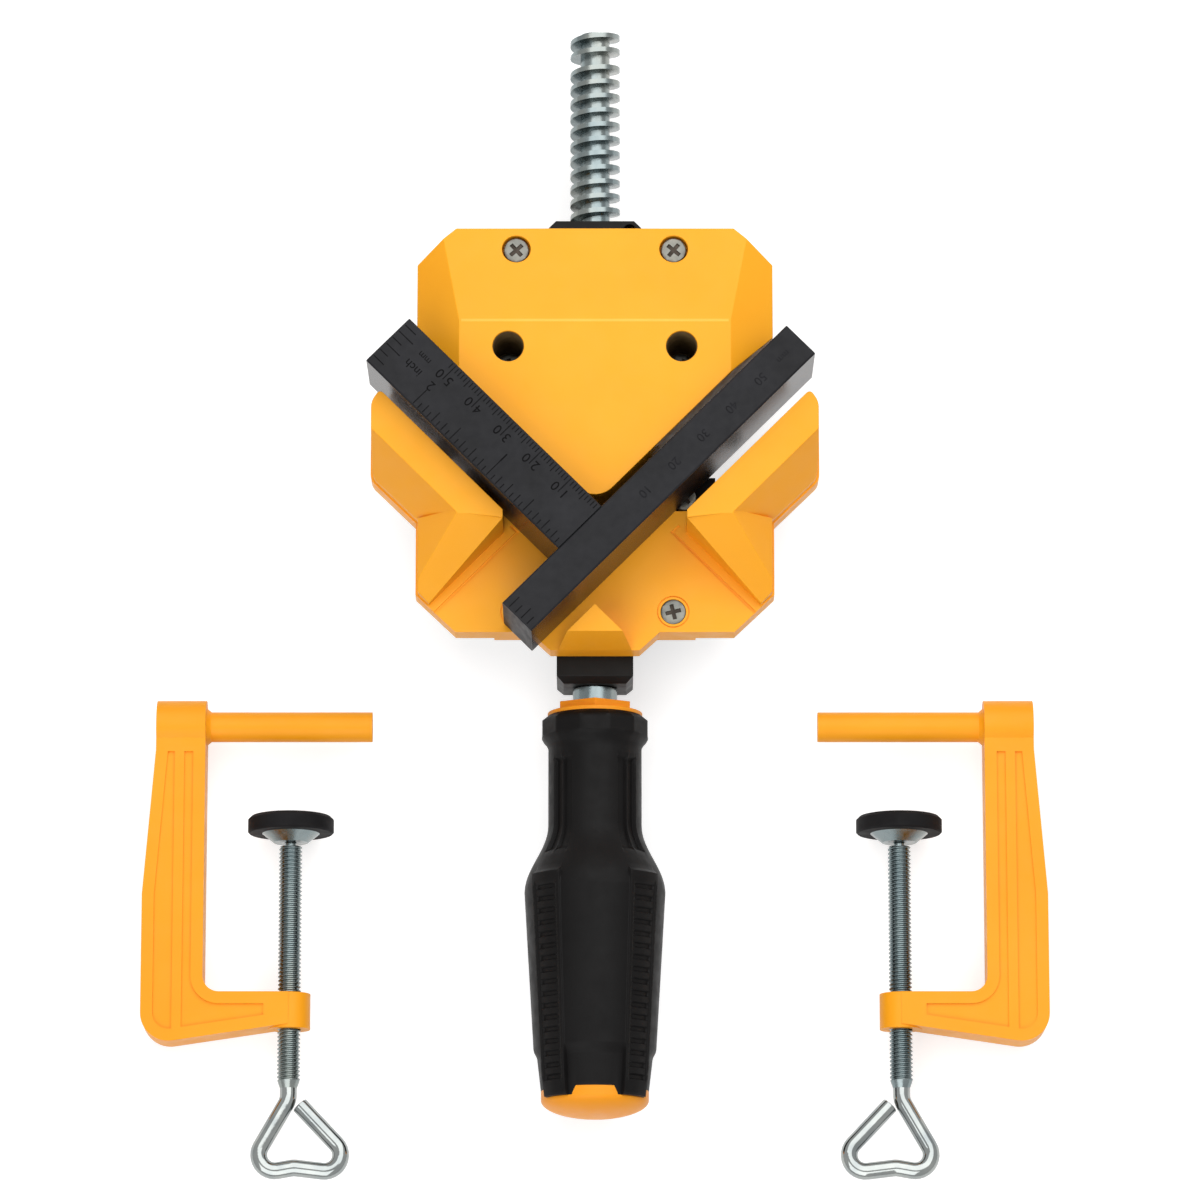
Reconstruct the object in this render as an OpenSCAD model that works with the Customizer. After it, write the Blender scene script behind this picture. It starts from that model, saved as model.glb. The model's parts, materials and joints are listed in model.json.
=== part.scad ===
// Corner clamp with a removable ruler square and a pair of bench clamps.
// The bench is Z = 0. The two fence faces meet at X = 0, Y = 0, and the handle points to -Y.

/* [Clearances] */
// Radial play of a shaft that turns in a bore
run_gap = 0.05; // [0.02:0.01:0.1]
// Play between sliding faces
slide_gap = 0.3; // [0.2:0.05:0.5]
// Radial play round screws, dowels and other fixed pins
pin_gap = 0.03; // [0.02:0.01:0.1]

/* [Base floor] */
// Thickness of the floor plate
floor_t = 7.5; // [6:0.5:10]
// Distance from the corner to the front edge
front_y = 4.5; // [3:0.1:6]
// Width of the straight front edge
front_w = 69; // [64:0.5:74]
// Distance from the corner to the nose's front face
nose_y = 9.1; // [8:0.1:11]
// Width of the nose at its front face
nose_w = 22; // [19:0.5:24]
// Width of the nose where it leaves the front edge
nose_root_w = 32; // [28:0.5:36]
// Height of the nose wedge above the floor
nose_h = 12.5; // [10:0.5:15]
// Depth of the wedge's flat top, from the corner
nose_crease_y = 6.8; // [5:0.1:7.5]
// Width across the body
body_w = 88.8; // [84:0.2:94]
// Y where the body's sides start
body_low_y = 4.9; // [3:0.1:7]
// Y where the body widens into the arms
body_high_y = 23; // [21:0.5:25]
// Width across the arms
arm_w = 111.4; // [108:0.2:116]
// Y where the arms' outer sides start
arm_low_y = 34; // [32:0.5:36]
// Distance from an arm's outer side in to its tip
tip_in = 2.1; // [1:0.1:4]
// Distance from an arm's tip down to the end of its outer side
tip_down = 3.1; // [2:0.1:5]
// Y of the floor's back edge
floor_back_y = 26.1; // [25:0.1:28]
// Width of the lip under the front edge
lip_w = 50; // [44:1:52]
// Depth of the lip under the front edge
lip_t = 3; // [2:0.1:4]
// Depth of the fine grooves in the floor
groove_cut = 0.5; // [0.3:0.1:0.8]
// Width of the ring groove round a floor screw
ring_w = 0.3; // [0.2:0.1:0.5]
// Gap between a floor screw's head and its ring groove
ring_gap = 0.6; // [0.4:0.1:0.8]

/* [Fences] */
// Height of the fences above the floor
fence_h = 17.5; // [15:0.5:20]
// Width of the flat where the clamping face starts
fence_flat = 1.93; // [1:0.01:3]
// Width of the flat top, square to the clamping face
band_w = 8.4; // [7:0.1:9]
// Clear width of the outlet between the nose and a fence's end wall
outlet_w = 30.6; // [29:0.1:31]
// Distance from the clamping face's start back to the crease above the end facet
crease_back = 0.9; // [0.5:0.1:1.3]
// X of the crease above the side facet
crease_x = 33.9; // [32:0.1:36]
// Height of the arm's outer edge above the floor
arm_edge_h = 3; // [2:0.1:6]
// Height of the side facet's outer edge above the floor
side_edge_h = 6; // [4:0.1:9]
// Height of the fence's front tip above the floor
tip_h = 2; // [1:0.1:4]
// Step between a fence and the floor's edge
fence_inset = 0.6; // [0.3:0.1:1]
// Distance from an end wall to the groove in the floor
groove_off = 2; // [1.5:0.1:3]
// Width of the groove in the floor
groove_w = 0.7; // [0.5:0.1:1]
// X and Y of a fence's far screw
fence_screw_far = [42, 38.5]; // [36:0.5:44]
// X of a fence's near screw
fence_screw_near_x = 31; // [29:0.5:33]
// Distance from a fence's end wall to its near screw
fence_screw_in = 3.3; // [3:0.1:4]
// Diameter of the fence screws' heads
fence_head_d = 8; // [6:0.1:9]
// Length of the fence screws
fence_screw_len = 15; // [12:0.5:17]

/* [Underframe] */
// Thickness of the trough's bottom
trough_t = 4; // [3:0.5:5]
// Inside width of the trough
trough_w = 28; // [27:0.5:30]
// Thickness of the trough's rails
rail_t = 6; // [5:0.5:7]
// Y of the rails' far end
rail_end_y = 92; // [85:1:95]
// Distance from the corner to the underframe's front face
frame_front_y = 3; // [2:0.1:4]
// Thickness of the front wall
front_wall_t = 7; // [6:0.5:8]
// Distance that the front face slopes back at its foot
chin_back = 4.4; // [3:0.1:5]
// Height of the sloped part of the front face
chin_h = 20; // [15:0.5:20]
// Half width of the solid block beside the trough
block_x = 26.1; // [25.5:0.1:27]
// Depth of the slide groove
groove_d = 3; // [2:0.5:4]
// Height of the slide groove
groove_h = 4.6; // [4:0.2:6]
// Height of the slide groove's centre
groove_z = 12; // [10:0.5:14]
// Thickness of the guide plate
guide_t = 2.5; // [2:0.1:3]
// Width of the guide plate
guide_w = 60; // [56:1:66]
// Y of the guide plate's far edge
guide_end_y = 36.3; // [35.5:0.1:38]
// X of the bench-clamp sockets
socket_x = 31; // [30:0.5:33]
// Height of the bench-clamp sockets
socket_z = 12; // [9:0.5:14]
// Y of the bench-clamp sockets' mouths
socket_front_y = 2.6; // [1:0.1:3]
// Depth of the bench-clamp sockets
socket_len = 32; // [28:1:33]
// Outer diameter round a socket
socket_boss_d = 14.5; // [13:0.5:16]

/* [Bushing] */
// Width of the square bearing block
bush_w = 19; // [17:0.2:19.4]
// Distance from the corner to the block's front face
bush_front_y = 17.5; // [16:0.1:18]
// Chamfer round the front face
bush_chamfer = 1.7; // [1:0.1:2.5]
// Diameter of the spigot in the front wall
spigot_d = 11.6; // [11:0.1:13]

/* [Jaw] */
// Y of the jaw's sharp corner, before rounding
jaw_corner_y = 23.9; // [23.7:0.1:26]
// Radius of the jaw's corner
jaw_corner_r = 6; // [4:0.5:8]
// Width across the jaw
jaw_w = 88.2; // [84:0.2:92]
// Y where the jaw's back chamfers start
jaw_side_y = 86.6; // [84:0.2:88]
// Y of the jaw's back face
jaw_back_y = 94.9; // [93.5:0.1:96]
// Width of the jaw's back face
jaw_back_w = 68.8; // [64:0.2:72]
// Half width of the jaw's flat top
jaw_flat_x = 33.5; // [31:0.1:35]
// Y of the crease where the top starts to fall
jaw_crease_y = 70.5; // [69:0.1:73]
// Fall of the top at the back face
jaw_back_fall = 3.5; // [2:0.1:5]
// Fall of the top at the sides
jaw_side_fall = 8; // [6:0.1:10]
// Y where the jaw's skirt starts, clear of the floor when closed
jaw_skirt_y = 50.5; // [50.2:0.1:53]
// Thickness of the jaw's walls
jaw_wall = 5; // [4:0.5:6]
// X of the deep screw holes
deep_x = 21.4; // [20:0.1:22]
// Y of the deep screw holes
deep_y = 63.9; // [63:0.1:66]
// Diameter of the deep screw holes
deep_d = 7.75; // [7:0.05:8.5]
// Thickness left under the deep screws' heads
deep_seat_t = 2.5; // [2:0.1:4]
// Radial room round the jaw screws' heads
head_room = 0.4; // [0.2:0.1:0.6]
// Depth of the jaw screws' heads below the back edge
head_sink = 0.5; // [0.2:0.1:1]
// X of the screws near the back face
top_screw_x = 19.5; // [18:0.1:21]
// Y of the screws near the back face
top_screw_y = 89.4; // [88.5:0.1:90]

/* [Slide shoe and nut] */
// Y of the shoe's front end
shoe_front_y = 27; // [26:0.5:30]
// Y of the shoe's back end, where the nut housing starts
shoe_back_y = 80; // [78:0.5:82]
// Y of the wings' front edge
wing_front_y = 59; // [58.5:0.1:60]
// Y of the wings' back edge
wing_back_y = 93; // [92:0.1:93.3]
// Width across the wings
wing_w = 76; // [66:1:80]
// Width of the nut housing
housing_w = 23.2; // [22.5:0.1:24]
// Y of the nut housing's back face
housing_back_y = 102; // [101:0.1:104]
// Width across the nut's flats
nut_flats = 17.5; // [17:0.1:18]
// Length of the nut
nut_len = 19; // [17:0.5:20]
// Wall above the nut's corners
housing_wall = 1.5; // [1:0.1:2]
// Chamfer at the housing's back corners
housing_chamfer = 1.8; // [1:0.1:3]
// Distance from the housing's side to its screws
housing_screw_in = 3.3; // [3:0.1:3.6]
// Distance from the screw line down to the housing's screws
housing_screw_drop = 9.3; // [9:0.1:10]
// Length of the housing screws in the shoe
housing_screw_grip = 10; // [6:0.5:14]
// Diameter of the housing screws' heads
housing_head_d = 5.4; // [4.8:0.1:6]
// Diameter of the housing's oil hole
oil_d = 3.2; // [2:0.1:4]
// Depth of the oil hole
oil_depth = 5; // [3:0.5:8]
// Distance from the housing's side to the oil hole
oil_in = 2.9; // [2.6:0.1:4]
// Distance from the housing's back face to the oil hole
oil_back = 2.4; // [2.2:0.1:2.8]

/* [Lead screw] */
// Outer diameter of the thread
lead_d = 12.6; // [12:0.1:13]
// Diameter of the thread's core
lead_core_d = 7.4; // [7:0.1:8]
// Diameter of the plain shaft in the bushing
shaft_d = 9; // [8:0.1:10]
// Y of the screw's far end
lead_end_y = 153.9; // [150:0.1:158]
// Length of the threaded end ring
end_ring_len = 6.2; // [5:0.1:8]
// Length of the plain gap before the end ring
end_gap_len = 2.2; // [1.5:0.1:3]
// Outer diameter of the thrust collar
collar_d = 11.1; // [10.5:0.1:14]

/* [Handle] */
// Largest diameter of the grip
grip_d = 34.9; // [32:0.1:37]
// Diameter of the grip's front collar before its flats are cut
grip_collar_d = 27; // [26:0.1:28]
// Width across the collar's flats
grip_collar_flats = 26.2; // [25.5:0.1:27]
// Number of the collar's flats
collar_sides = 12; // [8:2:16]
// Diameter of the grip's neck
grip_neck_d = 23.2; // [22:0.1:25]
// Diameter of the grip's tail
grip_tail_d = 30.3; // [28:0.1:32]
// Diameter of the band behind the tail
grip_band_d = 28.4; // [27:0.1:29.5]
// Diameter of the butt
butt_d = 26.6; // [25:0.1:28]
// Distance from the corner to the handle's hexagon
handle_y = 19.6; // [18.5:0.1:21]
// Length of the hexagon
hex_len = 2.2; // [1.5:0.1:3]
// Width across the hexagon's flats
hex_flats = 17.4; // [16:0.1:19]
// Diameter of the flange behind the hexagon
flange_d = 23.6; // [22:0.1:25]
// Thickness of the flange
flange_t = 1; // [0.6:0.1:1.5]
// Length of the grip's front collar
grip_collar_len = 5; // [4:0.1:6]
// Length of the slope at the grip's front
grip_front_len = 1.4; // [1:0.1:2]
// Length of the slope from the collar to the neck
collar_slope = 3.1; // [2.5:0.1:4]
// Length of the grip's neck
grip_neck_len = 19.3; // [17:0.1:22]
// Radius of the neck's flutes
flute_r = 4; // [3:0.5:5]
// Depth of the neck's flutes
flute_d = 0.9; // [0.5:0.1:1.3]
// Distance from the neck's start to the flutes' front centres
flute_in = 6; // [4:0.5:8]
// Distance from the neck's end back to the flutes' rear centres
flute_out = 2.8; // [1:0.1:4]
// Length of the flare from the neck to the belly
flare_len = 17; // [14:0.1:20]
// Length of the taper from the belly to the tail
taper_len = 39; // [35:0.5:44]
// Length of the band behind the tail
band_len = 10; // [8:0.1:12]
// Length of the slope between the tail and that band
step_len = 2.5; // [2:0.1:4]
// Length of the rounded butt
butt_len = 6.5; // [5:0.1:8]
// Diameter of the core inside the grip
core_d = 17; // [16:0.1:19]
// Depth of the shaft's seat in the core
seat_len = 42; // [30:1:55]
// Number of rungs in each grip panel
rungs = 17; // [8:1:17]
// Depth of the slots between the rungs
rung_depth = 0.7; // [0.4:0.1:0.8]
// Width of the slots between the rungs
slot_w = 1.6; // [1:0.1:2]
// Distance from the belly forward to the first slot
slot_lead = 1.2; // [1:0.1:4]
// Distance from the last rung to the butt
slot_tail = 2.9; // [2:0.1:5]
// Half angle of a grip panel, in degrees
panel_half = 15.5; // [12:0.5:20]
// Angle by which the slots pass a panel's side behind the tail, in degrees
panel_edge = 1.5; // [1:0.1:3]
// Length of the butt's windows in the grip
window_len = 2.2; // [1.5:0.1:3]
// Number of the butt's windows
window_count = 4; // [4:1:8]
// Half angle of a window, in degrees
window_half = 25; // [10:1:28]

/* [Ruler square] */
// Height of the square's bars
square_h = 25; // [20:0.5:28]
// Width of the stem
stem_w = 15; // [13:0.1:15.5]
// Length of the stem
stem_len = 66.7; // [60:0.1:70]
// Width of the head
head_w = 10; // [8:0.1:11]
// Length of the head
head_len = 98.4; // [90:0.1:104]
// Length of the head below the corner, along the bar
head_low = 17.6; // [16:0.1:19]
// Gap between the head and the right fence
head_gap = 4.3; // [3:0.1:4.8]
// Chamfer along the bars' edges
bar_chamfer = 0.4; // [0.2:0.1:0.8]
// Diameter of the joining dowels
dowel_d = 4; // [3:0.1:5]
// Length of the joining dowels
dowel_len = 10; // [8:0.5:12]
// Play under the square
square_gap = 0.1; // [0.05:0.05:0.3]

/* [Bench clamps] */
// Diameter of the pin
pin_d = 7.5; // [7:0.1:8]
// Length of the pin
pin_len = 41.4; // [38:0.1:44]
// Radial play of the pin in a socket
socket_gap = 0.1; // [0.06:0.01:0.2]
// X of the frame's inner face
frame_x = 97; // [95:0.1:99]
// Y of the pin's axis
pin_y = -23.9; // [-26:0.1:-20]
// Diameter of the boss at the pin's root
boss_d = 13.2; // [12:0.1:14]
// Length of the boss
boss_len = 12.3; // [11:0.1:13]
// Width of the leg at its foot
leg_w = 15.3; // [14:0.1:16]
// Thickness of the frame
frame_t = 11; // [9:0.1:12.5]
// Depth of the recesses on the frame's two faces
recess_d = 1; // [0.5:0.1:2]
// Width of the rim round a recess
frame_rim = 3; // [2:0.1:3.5]
// Distance from the boss to the recesses
recess_top = 0.5; // [0.3:0.1:3]
// Distance from the eye to the recesses
eye_rim = 0.9; // [0.5:0.1:2]
// Distance from the leg's inner face to the ridge in a recess
ridge_in = 5.2; // [4.5:0.1:6]
// Width of the ridge in a recess
ridge_w = 2.4; // [1.5:0.1:3]
// Distance from the pin to where the leg is widest
leg_full = 43; // [35:1:55]
// Radius of the frame's foot
foot_r = 7; // [5:0.5:8]
// Radius in the corner of the leg and the lower arm
inner_r = 4; // [3:0.5:6]
// Slope of the lower arm's underside, in degrees
arm_rise = 8.5; // [5:0.5:10]
// Size of the fillet at the pin's root
pin_fillet = 1.2; // [0.8:0.1:1.6]
// Y of the lower arm's upper face
arm_y = -91.3; // [-94:0.1:-89]
// Thickness of the lower arm at the leg
lower_arm_t = 12.3; // [11:0.1:14]
// Distance from the leg's inner face to the screw
throat = 21.25; // [20:0.05:23]
// Diameter of the eye round the screw
eye_d = 10.5; // [9.5:0.1:12]
// Length of the eye
eye_len = 8.8; // [8:0.1:10]
// Diameter of the bench screw
bench_screw_d = 5.8; // [5:0.1:6]
// Y of the bench screw's upper end
bench_screw_top = -54.2; // [-56:0.1:-54]
// Y of the bench screw's lower end, where the handle's wire starts
bench_screw_low = -114.4; // [-116:0.1:-112]
// Diameter of the handle's wire
wire_d = 4.3; // [3.8:0.1:4.8]
// Diameter of the pad
pad_d = 21.4; // [18:0.1:22]
// Thickness of the pad
pad_t = 4.2; // [3.8:0.1:5]
// Y of the pad's face
pad_y = -46.7; // [-47:0.1:-46.2]
// Diameter of the pad's cup
cup_d = 14.3; // [12:0.1:16]
// Diameter of the ball in the cup
ball_d = 4.8; // [4:0.1:5]
// Distance from the pad's rim out to the ball's centre
ball_out = 0.5; // [0.4:0.1:0.8]
// Thickness of the cup over the ball
cup_t = 0.4; // [0.3:0.1:0.6]
// Distance from the ball's centre to the cup's lip
cup_lip = 1.8; // [1.2:0.1:2]
// Diameter of the cup's lip
cup_lip_d = 8.6; // [7:0.1:10]
// Diameter of the ball stud's neck
stud_d = 2.6; // [2:0.1:3]
// Depth of the stud's hole in the bench screw
stud_len = 9; // [6:0.5:12]
// Bevel round the pad's face
pad_bevel = 0.8; // [0.5:0.1:1.2]

/* [Screws] */
// Diameter of the screws' shanks
shank_d = 3.2; // [2.8:0.1:3.6]
// Diameter of the floor screws' heads
floor_head_d = 6.25; // [5.5:0.05:7]
// X of the floor screws
floor_screw_x = 19.35; // [18.5:0.05:20]
// Y of the floor screws
floor_screw_y = 0.6; // [0:0.1:1]
// X of the guide screws
guide_screw_x = 22.1; // [21:0.1:22.4]
// Y of the guide screws
guide_screw_y = 30.6; // [29:0.1:32]
// Length of the floor and guide screws in the underframe
frame_screw_grip = 9; // [7:0.5:12]
// Height of the screws' heads
head_h = 2.2; // [1.8:0.1:2.4]
// Diameter of the jaw screws' heads
jaw_head_d = 6.3; // [5.5:0.1:6.6]

/* [Hidden] */
$fn = 48;

YELLOW = [0.98, 0.72, 0.15];
CHARCOAL = [0.16, 0.16, 0.17];
ZINC = [0.70, 0.72, 0.72];
BRASS = [0.78, 0.62, 0.30];

far = 200;
over = 1;
bench_gap = 0.35;
thread_cover_gap = 0.4;
root2 = sqrt(2);

// Heights, worked up from the bench: the grip clears it, and the floor covers the screw.
screw_z = grip_d / 2 + bench_gap;
frame_h = screw_z + lead_d / 2 + thread_cover_gap;
frame_screw_low = frame_h - frame_screw_grip;
guide_top = frame_h + guide_t;
floor_z = guide_top + floor_t;
fence_top = floor_z + fence_h;
jaw_base_z = guide_top;
jaw_over_floor = floor_z + slide_gap;
shank_r = shank_d / 2;
shank_hole_r = shank_r + pin_gap;
screw_bore_r = lead_d / 2 + slide_gap;
deep_seat_z = jaw_base_z + deep_seat_t;
top_seat_z = fence_top - jaw_back_fall - head_sink - head_h;

// Slide shoe and nut housing.
shoe_x = trough_w / 2 - slide_gap;
housing_top = screw_z + nut_flats / sqrt(3) + housing_wall;
housing_low = trough_t + slide_gap;
housing_screw_x = housing_w / 2 - housing_screw_in;
housing_screw_z = screw_z - housing_screw_drop;

// Plan lines shared by the floor and the fences.
arm_tip = arm_w / 2 - tip_in;
arm_high_y = arm_tip - tip_down;
outlet_sum = outlet_w * root2;
fence_near = (outlet_sum + fence_flat) / 2;
crease_y = fence_near - crease_back;
side_slope = (body_low_y + front_y) / (body_w / 2 - front_w / 2);
fence_side_x = body_w / 2 - fence_inset;
fence_tip_x = (outlet_sum - body_low_y + side_slope * fence_side_x) / (1 + side_slope);
fence_tip = [fence_tip_x, outlet_sum - fence_tip_x];
arm_edge_v = (arm_w / 2 - fence_inset - arm_low_y) / root2;
fence_screw_near = [fence_screw_near_x, outlet_sum - fence_screw_near_x + fence_screw_in * root2];
fence_screw_at = [fence_screw_far, fence_screw_near];

// Handle stations, as distances from the corner towards the handle's end.
hex_end = handle_y + hex_len;
flange_end = hex_end + flange_t;
grip_start = flange_end;
collar_end = grip_start + grip_collar_len;
neck_start = collar_end + collar_slope;
neck_end = neck_start + grip_neck_len;
belly_start = neck_end + flare_len;
tail_end = belly_start + taper_len;
step_end = tail_end + step_len;
butt_start = step_end + band_len;
handle_end = butt_start + butt_len;
slot_start = belly_start - slot_lead;
rung_pitch = (butt_start - slot_tail - slot_start) / rungs;
panel_angles = [45, 135, 225, 315];

// Ruler square: u runs along the right fence, v from that fence to the jaw.
stem_u = jaw_corner_y / root2 - slide_gap;
head_v = head_gap + head_w;
square_z = floor_z + square_gap;
dowel_u = [stem_u - stem_w * 3 / 4, stem_u - stem_w / 4];

// Bench clamps lie on their pads' rims.
bench_z = pad_d / 2;
bench_screw_x = frame_x - throat;
cup_rim_y = pad_y - pad_t;
ball_y = cup_rim_y - ball_out;
cup_top_y = ball_y + ball_d / 2 + cup_t;
cup_low_y = ball_y - cup_lip;
leg_top_w = boss_len;
leg_foot_x = frame_x + leg_w;
frame_low_z = bench_z - frame_t / 2;

// The heart handle's corners and bends, from the screw's end round to the wire's own end.
heart_points = [[0, 1], [0, -3.2], [10.9, -22.2], [-1.5, -20], [-19.6, -22.2], [-3.9, -5.6]];
heart_bends = [0, 5, 4, 5, 4, 0];
bend_steps = 8;
wire_sides = 16;

function mirrored(half) = concat(half, [for (i = [len(half) - 1:-1:0]) [-half[i][0], half[i][1]]]);
function unit(v) = v / norm(v);
function bend_angle(a, b, c) = acos(unit(b - a) * unit(c - b));
function bend_tangent(a, b, c, r) = r * tan(bend_angle(a, b, c) / 2);
function flare_r(t) = grip_neck_d / 2 + (grip_d - grip_neck_d) / 2 * (1 - cos(180 * t)) / 2;
function taper_r(y) = grip_d / 2 + (grip_tail_d - grip_d) / 2 * (y - belly_start) / taper_len;
function butt_r(t) = butt_d / 2 * sqrt(1 - t * t);

module along_x(x0, x1) translate([x0, 0, 0]) rotate([90, 0, 90]) linear_extrude(x1 - x0) children();
module along_y(y0, y1) translate([0, y1, 0]) rotate([90, 0, 0]) linear_extrude(y1 - y0) children();
module up(z0, z1) translate([0, 0, z0]) linear_extrude(z1 - z0) children();
module box(x0, x1, y0, y1, z0, z1) translate([x0, y0, z0]) cube([x1 - x0, y1 - y0, z1 - z0]);
module rod_z(x, y, r, z0, z1) translate([x, y, z0]) cylinder(r = r, h = z1 - z0);
module rod_y(x, z, r, y0, y1) translate([x, y1, z]) rotate([90, 0, 0]) cylinder(r = r, h = y1 - y0);
module rod_x(y, z, r, x0, x1) translate([x0, y, z]) rotate([0, 90, 0]) cylinder(r = r, h = x1 - x0);
module screw_line_rod(r, y0, y1) rod_y(0, screw_z, r, y0, y1);
module both_sides() {
    children();
    mirror([1, 0, 0]) children();
}
// Revolves a profile of (radius, distance from the corner towards the handle) about the screw line.
module about_screw() translate([0, 0, screw_z]) rotate([90, 0, 0]) rotate_extrude() children();
// A screw with a plain head: under-head height z, shank down to z_low.
module screw(x, y, z, head_d, z_low) {
    rod_z(x, y, head_d / 2, z, z + head_h);
    rod_z(x, y, shank_r, z_low, z + over / 2);
}

// Fixed base

module floor_outline() polygon(mirrored([
    [nose_w / 2, -nose_y],
    [nose_root_w / 2, -front_y],
    [front_w / 2, -front_y],
    [body_w / 2, body_low_y],
    [body_w / 2, body_high_y],
    [arm_w / 2, arm_low_y],
    [arm_w / 2, arm_high_y],
    [arm_tip, arm_tip],
    [floor_back_y, floor_back_y]
]));

module nose_wedge() intersection() {
    up(floor_z - over, floor_z + nose_h) polygon([[0, 0], [-nose_y, -nose_y], [nose_y, -nose_y]]);
    along_x(-nose_y, nose_y) polygon([
        [over, floor_z - over],
        [over, floor_z + nose_h],
        [-nose_crease_y, floor_z + nose_h],
        [-nose_y, floor_z + over / 2],
        [-nose_y, floor_z - over]
    ]);
}

// A fine groove in the floor, parallel to a fence's end wall and round its corner.
module floor_groove() {
    end_u = outlet_w - groove_off;
    corner_v = fence_near * root2 - outlet_w;
    groove_z0 = floor_z - groove_cut;
    rotate([0, 0, 45]) {
        box(end_u - groove_w, end_u, -outlet_w + groove_off, corner_v, groove_z0, floor_z + over);
        box(end_u - groove_w, outlet_w, corner_v - groove_w, corner_v, groove_z0, floor_z + over);
    }
}

module floor_screw_ring() difference() {
    ring_r = floor_head_d / 2 + ring_gap;
    rod_z(floor_screw_x, floor_screw_y, ring_r + ring_w, floor_z - groove_cut, floor_z + over);
    rod_z(floor_screw_x, floor_screw_y, ring_r, floor_z - over, floor_z + 2 * over);
}

module base_casting() color(YELLOW) difference() {
    union() {
        up(guide_top, floor_z) floor_outline();
        nose_wedge();
        both_sides() box(bush_w / 2 + slide_gap, lip_w / 2, -front_y, -front_y + lip_t,
            frame_h, floor_z - over);
    }
    both_sides() {
        floor_groove();
        floor_screw_ring();
        rod_z(floor_screw_x, floor_screw_y, floor_head_d / 2 + pin_gap, floor_z - head_h, floor_z + over);
        rod_z(floor_screw_x, floor_screw_y, shank_hole_r, guide_top - over, floor_z);
        for (p = fence_screw_at) {
            rod_z(p[0], p[1], shank_hole_r, guide_top - over, floor_z + over);
            rod_z(p[0], p[1], fence_head_d / 2 + pin_gap, guide_top - over, guide_top + head_h);
        }
    }
}

// The arm's cross-section: (distance from the clamping face, height).
module arm_profile() polygon([
    [0, floor_z],
    [0, fence_top],
    [-band_w, fence_top],
    [-arm_edge_v, floor_z + arm_edge_h],
    [-arm_edge_v, floor_z]
]);

module fence_arm() intersection() {
    up(floor_z, fence_top) polygon([
        [fence_near, outlet_sum - fence_near],
        [fence_near, fence_near],
        [arm_tip - fence_inset, arm_tip - fence_inset],
        [arm_w / 2 - fence_inset, arm_high_y - fence_inset],
        [arm_w / 2 - fence_inset, arm_low_y],
        [fence_side_x, body_high_y]
    ]);
    rotate([0, 0, 45]) along_x(0, far) arm_profile();
}

module fence_foot() intersection() {
    up(floor_z, fence_top) polygon([
        [fence_near, outlet_sum - fence_near],
        [fence_near, fence_near],
        [fence_side_x, body_high_y],
        [fence_side_x, body_low_y],
        fence_tip
    ]);
    along_x(0, far) polygon([
        [fence_tip[1], floor_z],
        [fence_tip[1], floor_z + tip_h],
        [crease_y, fence_top],
        [far, fence_top],
        [far, floor_z]
    ]);
    along_y(-far, far) polygon([
        [0, floor_z],
        [0, fence_top],
        [crease_x, fence_top],
        [fence_side_x, floor_z + side_edge_h],
        [fence_side_x, floor_z]
    ]);
}

module fence() difference() {
    union() {
        fence_arm();
        fence_foot();
    }
    for (p = fence_screw_at)
        rod_z(p[0], p[1], shank_hole_r, floor_z - over, guide_top + fence_screw_len + over);
}
module right_fence() color(YELLOW) fence();
module left_fence() color(YELLOW) mirror([1, 0, 0]) fence();

module underframe() color(CHARCOAL) difference() {
    rail_x = trough_w / 2 + rail_t;
    rail_top = frame_h - slide_gap;
    wall_back = front_wall_t - frame_front_y;
    union() {
        box(-rail_x, rail_x, -frame_front_y, rail_end_y, 0, rail_top);
        box(-block_x, block_x, -frame_front_y, guide_end_y, 0, frame_h);
        both_sides() rod_y(socket_x, socket_z, socket_boss_d / 2, socket_front_y, guide_end_y);
    }
    both_sides() along_x(bush_w / 2, block_x + over) polygon([
        [-frame_front_y - over, -over],
        [-frame_front_y + chin_back, -over],
        [-frame_front_y + chin_back, 0],
        [-frame_front_y, chin_h],
        [-frame_front_y - over, chin_h]
    ]);
    box(-trough_w / 2, trough_w / 2, wall_back, rail_end_y + over, trough_t, frame_h + over);
    screw_line_rod(spigot_d / 2 + pin_gap, -frame_front_y - over, wall_back + over);
    both_sides() {
        box(0, trough_w / 2 + groove_d, wall_back, rail_end_y + over,
            groove_z - groove_h / 2, groove_z + groove_h / 2);
        rod_y(socket_x, socket_z, pin_d / 2 + socket_gap, socket_front_y - over, socket_front_y + socket_len);
        rod_z(floor_screw_x, floor_screw_y, shank_hole_r, frame_screw_low - pin_gap, frame_h + over);
        rod_z(guide_screw_x, guide_screw_y, shank_hole_r, frame_screw_low - pin_gap, frame_h + over);
    }
}

module guide_plate() color(CHARCOAL) difference() {
    box(-guide_w / 2, guide_w / 2, -front_y + lip_t + slide_gap, guide_end_y, frame_h, guide_top);
    both_sides() {
        rod_z(floor_screw_x, floor_screw_y, shank_hole_r, frame_h - over, guide_top + over);
        rod_z(guide_screw_x, guide_screw_y, shank_hole_r, frame_h - over, guide_top + over);
    }
}

module bush_plan() polygon(mirrored([
    [bush_w / 2 - bush_chamfer, -bush_front_y],
    [bush_w / 2, -bush_front_y + bush_chamfer],
    [bush_w / 2, -frame_front_y]
]));

module bush_side(top) polygon([
    [-frame_front_y, screw_z - bush_w / 2],
    [-bush_front_y + bush_chamfer, screw_z - bush_w / 2],
    [-bush_front_y, screw_z - bush_w / 2 + bush_chamfer],
    [-bush_front_y, top - bush_chamfer],
    [-bush_front_y + bush_chamfer, top],
    [-frame_front_y, top]
]);

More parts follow.
